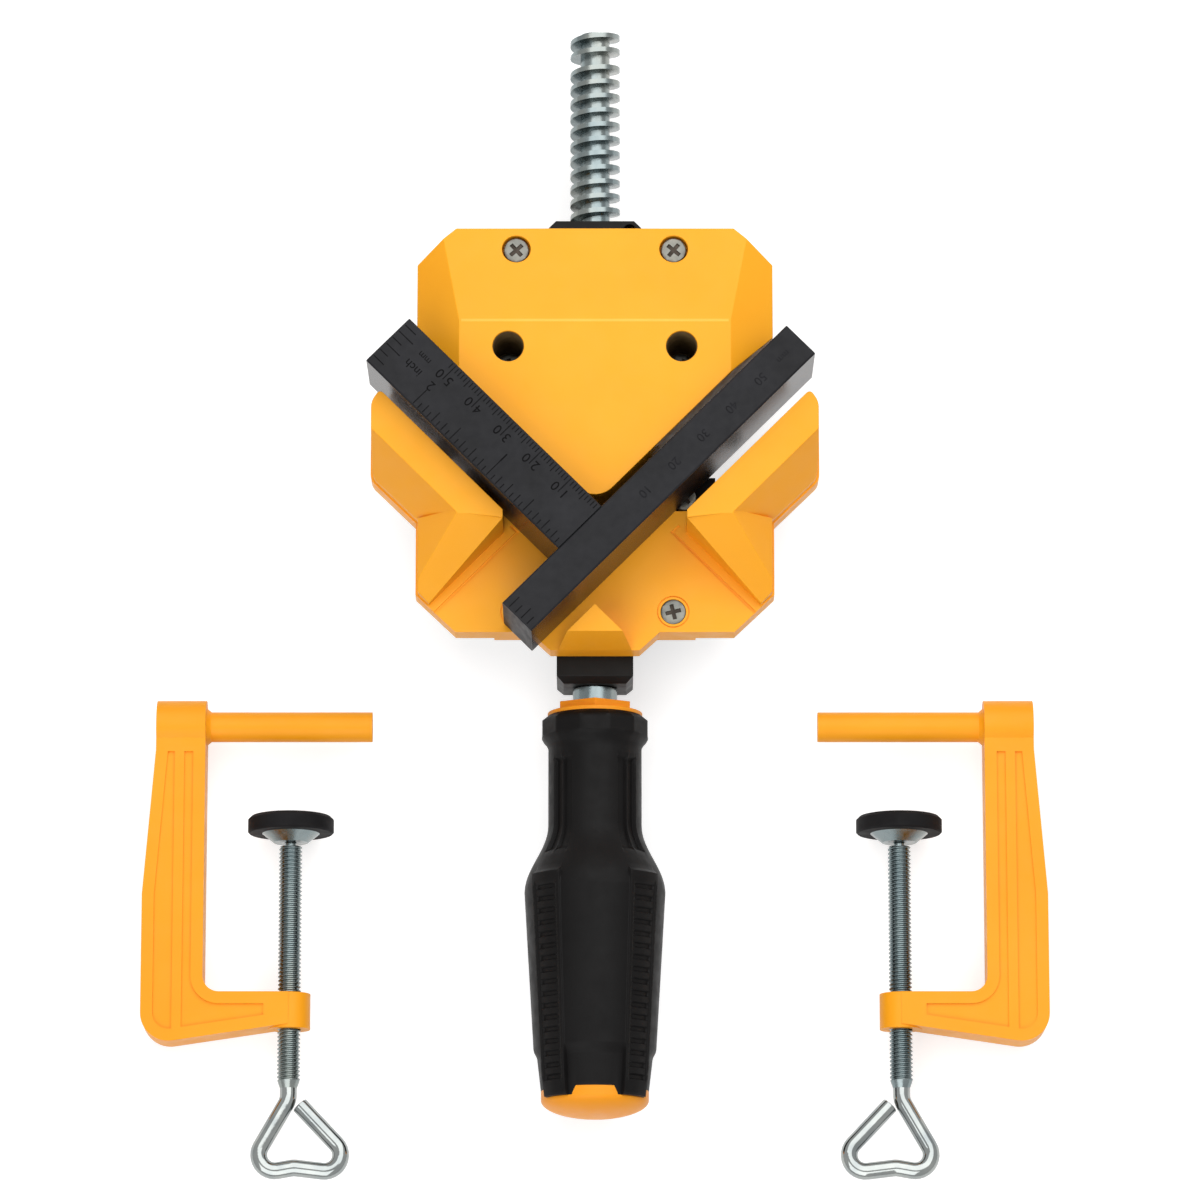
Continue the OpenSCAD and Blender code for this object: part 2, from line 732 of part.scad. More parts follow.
module front_bushing() color(CHARCOAL) difference() {
    top = guide_top - slide_gap;
    union() {
        intersection() {
            up(0, guide_top) bush_plan();
            along_x(-bush_w, bush_w) bush_side(top);
        }
        screw_line_rod(spigot_d / 2, -frame_front_y - over, front_wall_t - frame_front_y);
    }
    screw_line_rod(shaft_d / 2 + run_gap, -bush_front_y - over, front_wall_t);
}

module base_screws() color(ZINC) both_sides()
    screw(floor_screw_x, floor_screw_y, floor_z - head_h, floor_head_d, frame_screw_low);

module guide_screws() color(ZINC) both_sides()
    screw(guide_screw_x, guide_screw_y, guide_top, floor_head_d, frame_screw_low);

module fence_screws() color(ZINC) both_sides() for (p = fence_screw_at) {
    rod_z(p[0], p[1], fence_head_d / 2, guide_top, guide_top + head_h);
    rod_z(p[0], p[1], shank_r, guide_top, guide_top + fence_screw_len);
}

// Moving jaw

module jaw_plan() {
    flat = jaw_corner_r / root2;
    polygon(mirrored([
        [flat, jaw_corner_y + flat],
        [jaw_w / 2, jaw_corner_y + jaw_w / 2],
        [jaw_w / 2, jaw_side_y],
        [jaw_back_w / 2, jaw_back_y]
    ]));
    translate([0, jaw_corner_y + jaw_corner_r * root2]) circle(r = jaw_corner_r);
}

module jaw_solid() intersection() {
    up(jaw_base_z, fence_top) jaw_plan();
    along_x(-jaw_w, jaw_w) polygon([
        [0, jaw_over_floor],
        [0, fence_top],
        [jaw_crease_y, fence_top],
        [jaw_back_y, fence_top - jaw_back_fall],
        [jaw_back_y, jaw_base_z],
        [jaw_skirt_y, jaw_base_z],
        [jaw_skirt_y, jaw_over_floor]
    ]);
    along_y(0, far) polygon(mirrored([
        [jaw_w / 2, jaw_base_z],
        [jaw_w / 2, fence_top - jaw_side_fall],
        [jaw_flat_x, fence_top]
    ]));
}

// The open underside, with a boss left round each deep hole.
module jaw_pocket() difference() {
    box(-jaw_w / 2 + jaw_wall, jaw_w / 2 - jaw_wall, jaw_skirt_y + 2 * jaw_wall, jaw_side_y - jaw_wall,
        jaw_base_z - over, fence_top - jaw_side_fall - jaw_wall);
    both_sides() rod_z(deep_x, deep_y, deep_d / 2 + jaw_wall / 2, 0, far);
}

module jaw_block() color(YELLOW) difference() {
    housing_room = housing_w / 2 + slide_gap;
    jaw_solid();
    jaw_pocket();
    box(-housing_room, housing_room, shoe_back_y - slide_gap, jaw_back_y + over,
        jaw_base_z - over, housing_top + slide_gap);
    both_sides() {
        rod_z(deep_x, deep_y, deep_d / 2, deep_seat_z, fence_top + over);
        rod_z(deep_x, deep_y, shank_hole_r, jaw_base_z - over, fence_top);
        rod_z(top_screw_x, top_screw_y, jaw_head_d / 2 + head_room, top_seat_z, fence_top + over);
        rod_z(top_screw_x, top_screw_y, shank_hole_r, jaw_base_z - over, fence_top);
    }
}

module slide_shoe() color(CHARCOAL) difference() {
    tongue_x = trough_w / 2 + groove_d - slide_gap;
    tongue_h = groove_h / 2 - slide_gap;
    notch_x = housing_w / 2 + slide_gap;
    union() {
        box(-shoe_x, shoe_x, shoe_front_y, shoe_back_y, trough_t + slide_gap, frame_h - slide_gap);
        box(-tongue_x, tongue_x, shoe_front_y, shoe_back_y, groove_z - tongue_h, groove_z + tongue_h);
        box(-shoe_x, shoe_x, wing_front_y, shoe_back_y, frame_h - over, guide_top);
        box(-wing_w / 2, wing_w / 2, wing_front_y, wing_back_y, frame_h, guide_top);
    }
    box(-notch_x, notch_x, shoe_back_y, wing_back_y + over, frame_h - over, guide_top + over);
    screw_line_rod(screw_bore_r, shoe_front_y - over, shoe_back_y + over);
    box(-screw_bore_r, screw_bore_r, shoe_front_y - over, wing_front_y, screw_z, frame_h);
    both_sides() {
        rod_z(deep_x, deep_y, shank_hole_r, frame_h - over, guide_top + over);
        rod_z(top_screw_x, top_screw_y, shank_hole_r, frame_h - over, guide_top + over);
        rod_y(housing_screw_x, housing_screw_z, shank_hole_r,
            shoe_back_y - housing_screw_grip, shoe_back_y + over);
    }
}

module nut_housing() color(CHARCOAL) difference() {
    nut_back = shoe_back_y + nut_len;
    up(housing_low, housing_top) polygon(mirrored([
        [housing_w / 2, shoe_back_y],
        [housing_w / 2, housing_back_y - housing_chamfer],
        [housing_w / 2 - housing_chamfer, housing_back_y]
    ]));
    screw_line_rod(screw_bore_r, shoe_back_y - over, housing_back_y + over);
    translate([0, nut_back, screw_z]) rotate([90, 0, 0]) rotate([0, 0, 30])
        cylinder(d = (nut_flats + 2 * pin_gap) * 2 / sqrt(3), h = nut_len + over, $fn = 6);
    both_sides() {
        rod_y(housing_screw_x, housing_screw_z, shank_hole_r, shoe_back_y - over, housing_back_y + over);
        rod_y(housing_screw_x, housing_screw_z, housing_head_d / 2 + pin_gap,
            housing_back_y - head_h, housing_back_y + over);
    }
    rod_z(housing_w / 2 - oil_in, housing_back_y - oil_back, oil_d / 2,
        housing_top - oil_depth, housing_top + over);
}

module lead_nut() color(BRASS) difference() {
    translate([0, shoe_back_y + nut_len, screw_z]) rotate([90, 0, 0]) rotate([0, 0, 30])
        cylinder(d = nut_flats * 2 / sqrt(3), h = nut_len, $fn = 6);
    screw_line_rod(lead_d / 2 + run_gap, shoe_back_y - over, shoe_back_y + nut_len + over);
}

module jaw_top_screws() color(ZINC) both_sides()
    screw(top_screw_x, top_screw_y, top_seat_z, jaw_head_d, frame_h);

module jaw_deep_screws() color(ZINC) both_sides()
    screw(deep_x, deep_y, deep_seat_z, jaw_head_d, frame_h);

module housing_screws() color(ZINC) both_sides() {
    rod_y(housing_screw_x, housing_screw_z, housing_head_d / 2, housing_back_y - head_h, housing_back_y);
    rod_y(housing_screw_x, housing_screw_z, shank_r, shoe_back_y - housing_screw_grip, housing_back_y);
}

// Spindle and handle

module lead_screw() color(ZINC) {
    thread_start = front_wall_t - frame_front_y + slide_gap;
    ring_start = lead_end_y - end_ring_len;
    gap_start = ring_start - end_gap_len;
    screw_line_rod(shaft_d / 2, -handle_y - seat_len, thread_start);
    screw_line_rod(lead_d / 2, thread_start, gap_start);
    screw_line_rod(lead_core_d / 2, gap_start, ring_start);
    screw_line_rod(lead_d / 2, ring_start, lead_end_y);
}

module thrust_collar() color(ZINC) difference() {
    screw_line_rod(collar_d / 2, -handle_y, -bush_front_y - 2 * run_gap);
    screw_line_rod(shaft_d / 2 + pin_gap, -handle_y - over, -bush_front_y + over);
}

// Sectors about the screw line, each centred on one of the angles.
module sectors(angles, half, y0, y1) translate([0, 0, screw_z]) rotate([90, 0, 0])
    for (a = angles) translate([0, 0, y0]) linear_extrude(y1 - y0) polygon([
        [0, 0],
        [grip_d * cos(a - half), grip_d * sin(a - half)],
        [grip_d * cos(a + half), grip_d * sin(a + half)]
    ]);

module window_sectors(y0, y1) {
    angles = [for (i = [0:window_count - 1]) i * 360 / window_count];
    sectors(angles, window_half, y0, y1);
}

module handle_core() color(YELLOW) difference() {
    union() {
        translate([0, -handle_y, screw_z]) rotate([90, 0, 0]) rotate([0, 0, 30])
            cylinder(d = hex_flats * 2 / sqrt(3), h = hex_len + flange_t / 2, $fn = 6);
        screw_line_rod(flange_d / 2, -flange_end, -hex_end);
        screw_line_rod(core_d / 2, -butt_start - over, -hex_end);
        about_screw() polygon(concat(
            [[0, handle_end], [0, butt_start]],
            [for (i = [0:9]) [butt_r(i / 10), butt_start + butt_len * i / 10]]
        ));
        intersection() {
            screw_line_rod(butt_d / 2, -butt_start, -butt_start + window_len);
            window_sectors(butt_start - window_len, butt_start + over);
        }
    }
    screw_line_rod(shaft_d / 2 + pin_gap, -handle_y - seat_len - over, -handle_y + over);
}

module grip_body() about_screw() polygon(concat(
    [[0, grip_start], [flange_d / 2, grip_start], [grip_collar_d / 2, grip_start + grip_front_len]],
    [[grip_collar_d / 2, collar_end], [grip_neck_d / 2, neck_start]],
    [for (i = [0:10]) [flare_r(i / 10), neck_end + flare_len * i / 10]],
    [[grip_tail_d / 2, tail_end], [grip_band_d / 2, step_end], [butt_d / 2, butt_start], [0, butt_start]]
));

// The four side panels keep the grip's taper past its tail, proud of the band.
module tail_panels() intersection() {
    about_screw() polygon([
        [core_d / 2, tail_end - over],
        [taper_r(tail_end - over), tail_end - over],
        [taper_r(butt_start), butt_start],
        [core_d / 2, butt_start]
    ]);
    sectors(panel_angles, panel_half - panel_edge, tail_end - 2 * over, butt_start + over);
}

// What is cut off the round collar to leave its flats, one of them facing up.
module collar_flats() difference() {
    half_side = 180 / collar_sides;
    screw_line_rod(grip_d, -neck_start, -grip_start + over);
    translate([0, 2 * over - grip_start, screw_z]) rotate([90, 0, 0]) rotate([0, 0, half_side])
        cylinder(d = grip_collar_flats / cos(half_side), h = far, $fn = collar_sides);
}

// Slots across the grip that leave the rungs of the four side panels.
module rung_slots() intersection() {
    about_screw() for (i = [0:rungs - 1]) {
        y = slot_start + i * rung_pitch;
        translate([taper_r(y) - rung_depth, y]) square([rung_depth + over, slot_w]);
    }
    sectors(panel_angles, panel_half, slot_start - over, butt_start);
}

// Long hollows in the neck, between its flat panels.
module neck_flutes() {
    low = -neck_end - flute_out;
    high = -neck_start - flute_in;
    for (a = panel_angles) translate([0, 0, screw_z]) rotate([0, -a, 0])
        translate([grip_neck_d / 2 + flute_r - flute_d, 0, 0]) {
            rod_y(0, 0, flute_r, low, high);
            translate([0, low, 0]) sphere(r = flute_r);
            translate([0, high, 0]) sphere(r = flute_r);
        }
}

module handle_grip() color(CHARCOAL) difference() {
    union() {
        grip_body();
        tail_panels();
    }
    screw_line_rod(core_d / 2 + pin_gap, -butt_start - over, -grip_start + over);
    collar_flats();
    intersection() {
        screw_line_rod(butt_d, -butt_start - over, -butt_start + window_len);
        window_sectors(butt_start - window_len, butt_start + over);
    }
    rung_slots();
    neck_flutes();
}

// Ruler square

module bar_section(w, h) polygon([
    [bar_chamfer, 0],
    [w - bar_chamfer, 0],
    [w, bar_chamfer],
    [w, h - bar_chamfer],
    [w - bar_chamfer, h],
    [bar_chamfer, h],
    [0, h - bar_chamfer],
    [0, bar_chamfer]
]);

module dowels(r, length) for (u = dowel_u)
    rotate([0, 0, 45]) rod_y(u, square_z + square_h / 2, r, head_v - length / 2, head_v + length / 2);

module square_stem() color(CHARCOAL) difference() {
    rotate([0, 0, 45]) translate([stem_u - stem_w, 0, square_z])
        along_y(head_v, head_v + stem_len) bar_section(stem_w, square_h);
    dowels(dowel_d / 2 + pin_gap, dowel_len);
}

module square_head() color(CHARCOAL) difference() {
    rotate([0, 0, 45]) translate([0, head_gap, square_z])
        along_x(-head_low, head_len - head_low) bar_section(head_w, square_h);
    dowels(dowel_d / 2 + pin_gap, dowel_len);
}

module square_dowels() color(ZINC) dowels(dowel_d / 2, dowel_len);

// Bench clamps, drawn for the right side

// The frame's outline, drawn in by an even rim.
module bench_outline(rim) {
    foot_y = arm_y - lower_arm_t + foot_r;
    foot_dir = [-sin(arm_rise), -cos(arm_rise)];
    foot = [leg_foot_x - foot_r, foot_y];
    foot_low = foot + (foot_r - rim) * foot_dir;
    difference() {
        union() {
            polygon([
                [frame_x + rim, pin_y],
                [frame_x + leg_top_w - rim, pin_y],
                [frame_x + leg_top_w - rim, pin_y - boss_d / 2],
                [leg_foot_x - rim, pin_y - leg_full],
                [leg_foot_x - rim, foot_y],
                foot,
                foot_low,
                [bench_screw_x, foot_low[1] + (foot_low[0] - bench_screw_x) * tan(arm_rise)],
                [bench_screw_x, arm_y - rim],
                [frame_x + rim, arm_y - rim]
            ]);
            translate(foot) circle(r = foot_r - rim);
            translate([frame_x - inner_r, arm_y - rim]) square(inner_r + rim + over / 4);
        }
        translate([frame_x - inner_r, arm_y + inner_r]) circle(r = inner_r + rim);
    }
}

// Recesses on both faces of the frame, each with a ridge left along the leg.
module frame_recesses() {
    top = pin_y - boss_d / 2 - recess_top;
    ridge_x = frame_x + ridge_in;
    for (z = [frame_low_z - over, frame_low_z + frame_t - recess_d]) difference() {
        up(z, z + recess_d + over) intersection() {
            bench_outline(frame_rim);
            translate([bench_screw_x + eye_d / 2 + eye_rim, top - far]) square(far);
        }
        box(ridge_x, ridge_x + ridge_w, -far, far, z - over, z + recess_d + 2 * over);
    }
}

module bench_frame() color(YELLOW) difference() {
    union() {
        up(frame_low_z, frame_low_z + frame_t) bench_outline(0);
        rod_x(pin_y, bench_z, boss_d / 2, frame_x, frame_x + boss_len);
        rod_x(pin_y, bench_z, pin_d / 2, frame_x - pin_len, frame_x + over);
        translate([frame_x - pin_fillet, pin_y, bench_z]) rotate([0, 90, 0])
            cylinder(r1 = pin_d / 2, r2 = pin_d / 2 + pin_fillet, h = pin_fillet + over / 4);
        rod_y(bench_screw_x, bench_z, eye_d / 2, arm_y - eye_len, arm_y);
    }
    frame_recesses();
    rod_y(bench_screw_x, bench_z, bench_screw_d / 2 + run_gap, arm_y - 2 * eye_len, arm_y + over);
}

// Stations (x, y, heading) along a wire through the points, with a round bend at each inner one.
function wire_bend(a, b, c, r) = let (
    in_dir = unit(b - a),
    out_dir = unit(c - b),
    turn = in_dir[0] * out_dir[1] - in_dir[1] * out_dir[0] > 0 ? 1 : -1,
    start = b - in_dir * bend_tangent(a, b, c, r),
    heading = atan2(in_dir[1], in_dir[0]),
    centre = start + turn * r * [-sin(heading), cos(heading)]
) [for (k = [0:bend_steps]) let (
    h = heading + turn * bend_angle(a, b, c) * k / bend_steps,
    at = centre - turn * r * [-sin(h), cos(h)]
) [at[0], at[1], h]];

function wire_end(p, from, to) = let (d = to - from) [[p[0], p[1], atan2(d[1], d[0])]];

function wire_stations(p, bend_r) = let (last = len(p) - 1) concat(
    wire_end(p[0], p[0], p[1]),
    [for (i = [1:last - 1]) each wire_bend(p[i - 1], p[i], p[i + 1], bend_r[i])],
    wire_end(p[last], p[last - 1], p[last])
);

// A round wire swept along its stations, in a plane of constant Z.
module bent_wire(stations, r) {
    last = len(stations) - 1;
    rings = [for (s = stations) each [for (k = [0:wire_sides - 1]) let (a = 360 * k / wire_sides)
        [s[0] - r * cos(a) * sin(s[2]), s[1] + r * cos(a) * cos(s[2]), r * sin(a)]]];
    sides = [for (i = [0:last - 1]) each [for (k = [0:wire_sides - 1]) let (n = (k + 1) % wire_sides)
        [i * wire_sides + k, (i + 1) * wire_sides + k, (i + 1) * wire_sides + n, i * wire_sides + n]]];
    caps = [
        [for (k = [0:wire_sides - 1]) k],
        [for (k = [wire_sides - 1:-1:0]) last * wire_sides + k]
    ];
    polyhedron(points = rings, faces = concat(sides, caps));
}

module bench_screw() color(ZINC) difference() {
    translate([bench_screw_x, bench_screw_low, bench_z]) {
        rod_y(0, 0, bench_screw_d / 2, 0, bench_screw_top - bench_screw_low);
        bent_wire(wire_stations(heart_points, heart_bends), wire_d / 2);
    }
    rod_y(bench_screw_x, bench_z, stud_d / 2 + run_gap, bench_screw_top - stud_len, bench_screw_top + over);
}

module ball_stud() color(ZINC) translate([bench_screw_x, ball_y, bench_z]) {
    sphere(d = ball_d);
    rod_y(0, 0, stud_d / 2, bench_screw_top - ball_y - stud_len + slide_gap, 0);
}

module bench_cup() color(ZINC) translate([bench_screw_x, 0, bench_z]) rotate([90, 0, 0])
    rotate_extrude() difference() {
        polygon([
            [0, -cup_top_y],
            [cup_d / 2, -cup_top_y],
            [cup_d / 2, -cup_rim_y],
            [cup_lip_d / 2, -cup_low_y],
            [0, -cup_low_y]
        ]);
        translate([0, -ball_y]) circle(r = ball_d / 2 + run_gap);
    }

module bench_pad() color(CHARCOAL) translate([bench_screw_x, 0, bench_z]) difference() {
    rotate([90, 0, 0]) rotate_extrude() polygon([
        [0, -pad_y],
        [pad_d / 2 - pad_bevel, -pad_y],
        [pad_d / 2, -pad_y + pad_bevel],
        [pad_d / 2, -cup_rim_y - pad_bevel / 2],
        [pad_d / 2 - pad_bevel / 2, -cup_rim_y],
        [0, -cup_rim_y]
    ]);
    rod_y(0, 0, cup_d / 2 + pin_gap, cup_rim_y - over, cup_top_y);
}

module right_bench_frame() bench_frame();
module right_ball_stud() ball_stud();
module right_bench_screw() bench_screw();
module right_bench_cup() bench_cup();
module right_bench_pad() bench_pad();
module left_bench_frame() mirror([1, 0, 0]) bench_frame();
module left_ball_stud() mirror([1, 0, 0]) ball_stud();
module left_bench_screw() mirror([1, 0, 0]) bench_screw();
module left_bench_cup() mirror([1, 0, 0]) bench_cup();
module left_bench_pad() mirror([1, 0, 0]) bench_pad();

base_casting();
left_fence();
right_fence();
underframe();
guide_plate();
front_bushing();
base_screws();
guide_screws();
fence_screws();
jaw_block();
slide_shoe();
nut_housing();
lead_nut();
jaw_top_screws();
jaw_deep_screws();
housing_screws();
lead_screw();
thrust_collar();
handle_core();
handle_grip();
square_stem();
square_head();
square_dowels();
left_bench_frame();
left_ball_stud();
left_bench_screw();
left_bench_cup();
left_bench_pad();
right_bench_frame();
right_ball_stud();
right_bench_screw();
right_bench_cup();
right_bench_pad();
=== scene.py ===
"""Corner clamp with its ruler square and a pair of bench clamps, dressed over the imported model."""
import json
import math

import bmesh
import bpy
from mathutils import Matrix, Vector


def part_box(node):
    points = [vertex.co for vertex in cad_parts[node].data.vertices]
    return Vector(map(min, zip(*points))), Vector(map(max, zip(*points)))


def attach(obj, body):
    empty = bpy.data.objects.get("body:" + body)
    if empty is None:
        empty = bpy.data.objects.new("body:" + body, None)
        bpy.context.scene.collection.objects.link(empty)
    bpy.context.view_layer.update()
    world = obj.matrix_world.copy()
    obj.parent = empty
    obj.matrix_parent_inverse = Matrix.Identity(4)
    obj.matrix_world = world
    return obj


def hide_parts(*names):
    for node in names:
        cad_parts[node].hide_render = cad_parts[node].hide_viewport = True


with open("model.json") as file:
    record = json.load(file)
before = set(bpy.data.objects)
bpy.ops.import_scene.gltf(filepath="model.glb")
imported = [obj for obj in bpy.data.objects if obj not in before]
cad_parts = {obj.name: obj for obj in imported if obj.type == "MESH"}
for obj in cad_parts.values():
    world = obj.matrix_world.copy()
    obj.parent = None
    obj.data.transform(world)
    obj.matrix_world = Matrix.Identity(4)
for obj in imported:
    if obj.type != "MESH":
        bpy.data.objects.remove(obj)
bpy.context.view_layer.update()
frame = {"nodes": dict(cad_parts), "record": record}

MM = 0.001
RECORD = frame["record"]
BODY_OF = {node: body for body, nodes in RECORD["behaviour"]["bodies"].items() for node in nodes}
SLOT_OF = {part["node"]: part["material_slot"] for part in RECORD["subparts"]}


def box_mm(node):
    """Lowest and highest corner of a CAD node, in millimetres."""
    low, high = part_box(node)
    return low / MM, high / MM


def grey(level):
    return (level, level, level, 1.0)


def srgb(r, g, b):
    """A colour as seen in the photo, 0 to 255, as the linear colour that a shader takes."""
    def linear(c):
        c /= 255
        return c / 12.92 if c <= 0.04045 else ((c + 0.055) / 1.055) ** 2.4
    return (linear(r), linear(g), linear(b), 1.0)


# ---------------------------------------------------------------- materials

NOISE_LOW, NOISE_HIGH = 0.3, 0.7    # the part of a noise's range that most of it lies in
FINE_GRAIN, ROUGH_GRAIN, SOFT_WAVE = 0.0002, 0.0003, 0.0004


class Shader:
    """A principled material with object coordinates and the few node patterns used here."""

    def __init__(self, name, **sockets):
        self.material = bpy.data.materials.new(name)
        self.material.use_nodes = True
        self.nodes = self.material.node_tree.nodes
        self.links = self.material.node_tree.links
        self.bsdf = self.nodes["Principled BSDF"]
        for socket, value in sockets.items():
            self.bsdf.inputs[socket.replace("_", " ")].default_value = value
        self.coords = self.nodes.new("ShaderNodeTexCoord").outputs["Object"]
        self.height = None

    def stretched(self, scale):
        mapping = self.nodes.new("ShaderNodeMapping")
        mapping.inputs["Scale"].default_value = scale
        self.links.new(self.coords, mapping.inputs["Vector"])
        return mapping.outputs["Vector"]

    def noise(self, scale, detail=3.0, vector=None):
        node = self.nodes.new("ShaderNodeTexNoise")
        node.inputs["Scale"].default_value = scale
        node.inputs["Detail"].default_value = detail
        self.links.new(vector or self.coords, node.inputs["Vector"])
        return node.outputs["Fac"]

    def ramp(self, factor, stops):
        node = self.nodes.new("ShaderNodeValToRGB")
        elements = node.color_ramp.elements
        while len(elements) < len(stops):
            elements.new(0.5)
        for element, (at, colour) in zip(elements, stops):
            element.position = at
            element.color = colour
        self.links.new(factor, node.inputs["Fac"])
        return node.outputs["Color"]

    def tones(self, factor, dark, light):
        """A colour that drifts from one tone to another with a noise."""
        return self.ramp(factor, [(NOISE_LOW, dark), (NOISE_HIGH, light)])

    def span(self, factor, low, high):
        """A number that drifts from low to high with a noise."""
        node = self.nodes.new("ShaderNodeMapRange")
        node.inputs["From Min"].default_value = NOISE_LOW
        node.inputs["From Max"].default_value = NOISE_HIGH
        node.inputs["To Min"].default_value = low
        node.inputs["To Max"].default_value = high
        self.links.new(factor, node.inputs["Value"])
        return node.outputs["Result"]

    def mix(self, factor, a, b):
        node = self.nodes.new("ShaderNodeMix")
        node.data_type = "RGBA"
        self.links.new(factor, node.inputs["Factor"])
        self.links.new(a, node.inputs["A"])
        node.inputs["B"].default_value = b
        return node.outputs["Result"]

    def edges(self, low, high):
        """0 on flats and 1 on convex edges."""
        geometry = self.nodes.new("ShaderNodeNewGeometry")
        node = self.nodes.new("ShaderNodeMapRange")
        node.inputs["From Min"].default_value = low
        node.inputs["From Max"].default_value = high
        self.links.new(geometry.outputs["Pointiness"], node.inputs["Value"])
        return node.outputs["Result"]

    def facing(self, way):
        """1 where the surface faces along a direction or against it, 0 where it runs along it."""
        geometry = self.nodes.new("ShaderNodeNewGeometry")
        dot = self.nodes.new("ShaderNodeVectorMath")
        dot.operation = "DOT_PRODUCT"
        self.links.new(geometry.outputs["True Normal"], dot.inputs[0])
        dot.inputs[1].default_value = way
        size = self.nodes.new("ShaderNodeMath")
        size.operation = "ABSOLUTE"
        self.links.new(dot.outputs["Value"], size.inputs[0])
        return size.outputs[0]

    def set(self, socket, output):
        self.links.new(output, self.bsdf.inputs[socket])

    def bump(self, factor, distance, strength):
        node = self.nodes.new("ShaderNodeBump")
        node.inputs["Distance"].default_value = distance
        node.inputs["Strength"].default_value = strength
        self.links.new(factor, node.inputs["Height"])
        if self.height:
            self.links.new(self.height, node.inputs["Normal"])
        self.height = node.outputs["Normal"]
        self.links.new(self.height, self.bsdf.inputs["Normal"])


def painted_yellow(name, deep, light):
    s = Shader(name, Specular_IOR_Level=0.22, Coat_Weight=0.03, Coat_Roughness=0.25)
    s.set("Base Color", s.tones(s.noise(35), deep, light))
    s.set("Roughness", s.span(s.noise(220), 0.38, 0.5))
    s.bump(s.noise(2400, 2), FINE_GRAIN, 0.06)
    s.bump(s.noise(160, 2), SOFT_WAVE, 0.05)
    return s.material


def black_coat():
    s = Shader("black_cast_coat", Specular_IOR_Level=0.12)
    s.set("Base Color", s.tones(s.noise(90), srgb(15, 14, 14), srgb(22, 21, 20)))
    s.set("Roughness", s.span(s.noise(300), 0.5, 0.65))
    s.bump(s.noise(1900, 3), ROUGH_GRAIN, 0.12)
    return s.material


def black_nylon():
    s = Shader("black_nylon", Specular_IOR_Level=0.13)
    s.set("Base Color", s.tones(s.noise(60), srgb(15, 14, 13), srgb(22, 21, 20)))
    s.set("Roughness", s.span(s.noise(260), 0.36, 0.48))
    s.bump(s.noise(2600, 2), FINE_GRAIN, 0.08)
    return s.material


def zinc_steel():
    s = Shader("zinc_plated_steel", Metallic=1.0)
    drawn = s.stretched((1.0, 0.25, 1.0))
    s.set("Base Color", s.ramp(s.noise(120, 4, drawn), [
        (0.25, srgb(104, 117, 120)), (0.5, srgb(126, 136, 137)), (0.8, srgb(144, 145, 138))]))
    s.set("Roughness", s.span(s.noise(700, 3, drawn), 0.16, 0.32))
    s.bump(s.noise(1500, 3), FINE_GRAIN, 0.06)
    return s.material


def bright_wire():
    s = Shader("bright_zinc_wire", Metallic=1.0)
    s.set("Base Color", s.tones(s.noise(160, 4), srgb(134, 140, 141), srgb(158, 161, 158)))
    s.set("Roughness", s.span(s.noise(500, 3), 0.06, 0.13))
    s.bump(s.noise(900, 3), FINE_GRAIN, 0.05)
    return s.material


def screw_steel():
    s = Shader("dull_screw_steel", Metallic=1.0)
    s.set("Base Color", s.tones(s.noise(260, 4), srgb(104, 105, 101), srgb(122, 120, 112)))
    s.set("Roughness", s.span(s.noise(800, 3), 0.32, 0.48))
    s.bump(s.noise(1800, 3), FINE_GRAIN, 0.08)
    return s.material


def turned_brass():
    s = Shader("turned_brass", Metallic=1.0)
    ringed = s.stretched((0.2, 6.0, 0.2))
    s.set("Base Color", s.tones(s.noise(80), srgb(176, 140, 74), srgb(196, 160, 92)))
    s.set("Roughness", s.span(s.noise(400, 3, ringed), 0.22, 0.38))
    s.bump(s.noise(500, 2, ringed), FINE_GRAIN, 0.1)
    return s.material


def yellow_plastic():
    s = Shader("yellow_handle_core", Specular_IOR_Level=0.16,
               Subsurface_Weight=0.05, Subsurface_Scale=0.002)
    s.set("Base Color", s.tones(s.noise(40), srgb(246, 154, 32), srgb(251, 161, 38)))
    s.set("Roughness", s.span(s.noise(250), 0.36, 0.46))
    s.bump(s.noise(2200, 2), FINE_GRAIN, 0.05)
    return s.material


def grip_rubber():
    s = Shader("soft_grip", Specular_IOR_Level=0.11)
    tone = s.tones(s.noise(70), srgb(13, 12, 12), srgb(19, 18, 18))
    # Lighter on convex edges, by pointiness: a painted highlight along the grip's ridges and rims.
    s.set("Base Color", s.mix(s.edges(0.53, 0.65), tone, srgb(34, 33, 33)))
    s.set("Roughness", s.span(s.noise(320), 0.42, 0.56))
    s.bump(s.noise(3200, 2), FINE_GRAIN, 0.1)
    return s.material


def square_black(name, polished):
    """A blackened bar with more gloss on its long sides, which face along the polished way."""
    s = Shader(name, Specular_IOR_Level=0.14)
    milled = s.stretched((1.0, 1.0, 0.3))
    s.set("Base Color", s.tones(s.noise(110, 4), srgb(27, 27, 29), srgb(36, 36, 39)))
    matte = s.tones(s.noise(500, 4, milled), grey(0.42), grey(0.58))
    s.set("Roughness", s.mix(s.facing(polished), matte, grey(0.24)))
    s.bump(s.noise(1800, 3, milled), FINE_GRAIN, 0.07)
    return s.material


def pad_rubber():
    s = Shader("pad_rubber", Specular_IOR_Level=0.12)
    s.set("Base Color", s.tones(s.noise(90), srgb(19, 18, 19), srgb(28, 27, 28)))
    s.set("Roughness", s.span(s.noise(300), 0.6, 0.75))
    s.bump(s.noise(2800, 2), FINE_GRAIN, 0.1)
    return s.material


# A dark matte finish: the print of engraved marks, and painted shade in the screws' cross recesses.
def sunk_mark(name, dark, light):
    s = Shader(name, Specular_IOR_Level=0.08)
    s.set("Base Color", s.tones(s.noise(600), dark, light))
    s.set("Roughness", s.span(s.noise(900), 0.7, 0.9))
    return s.material
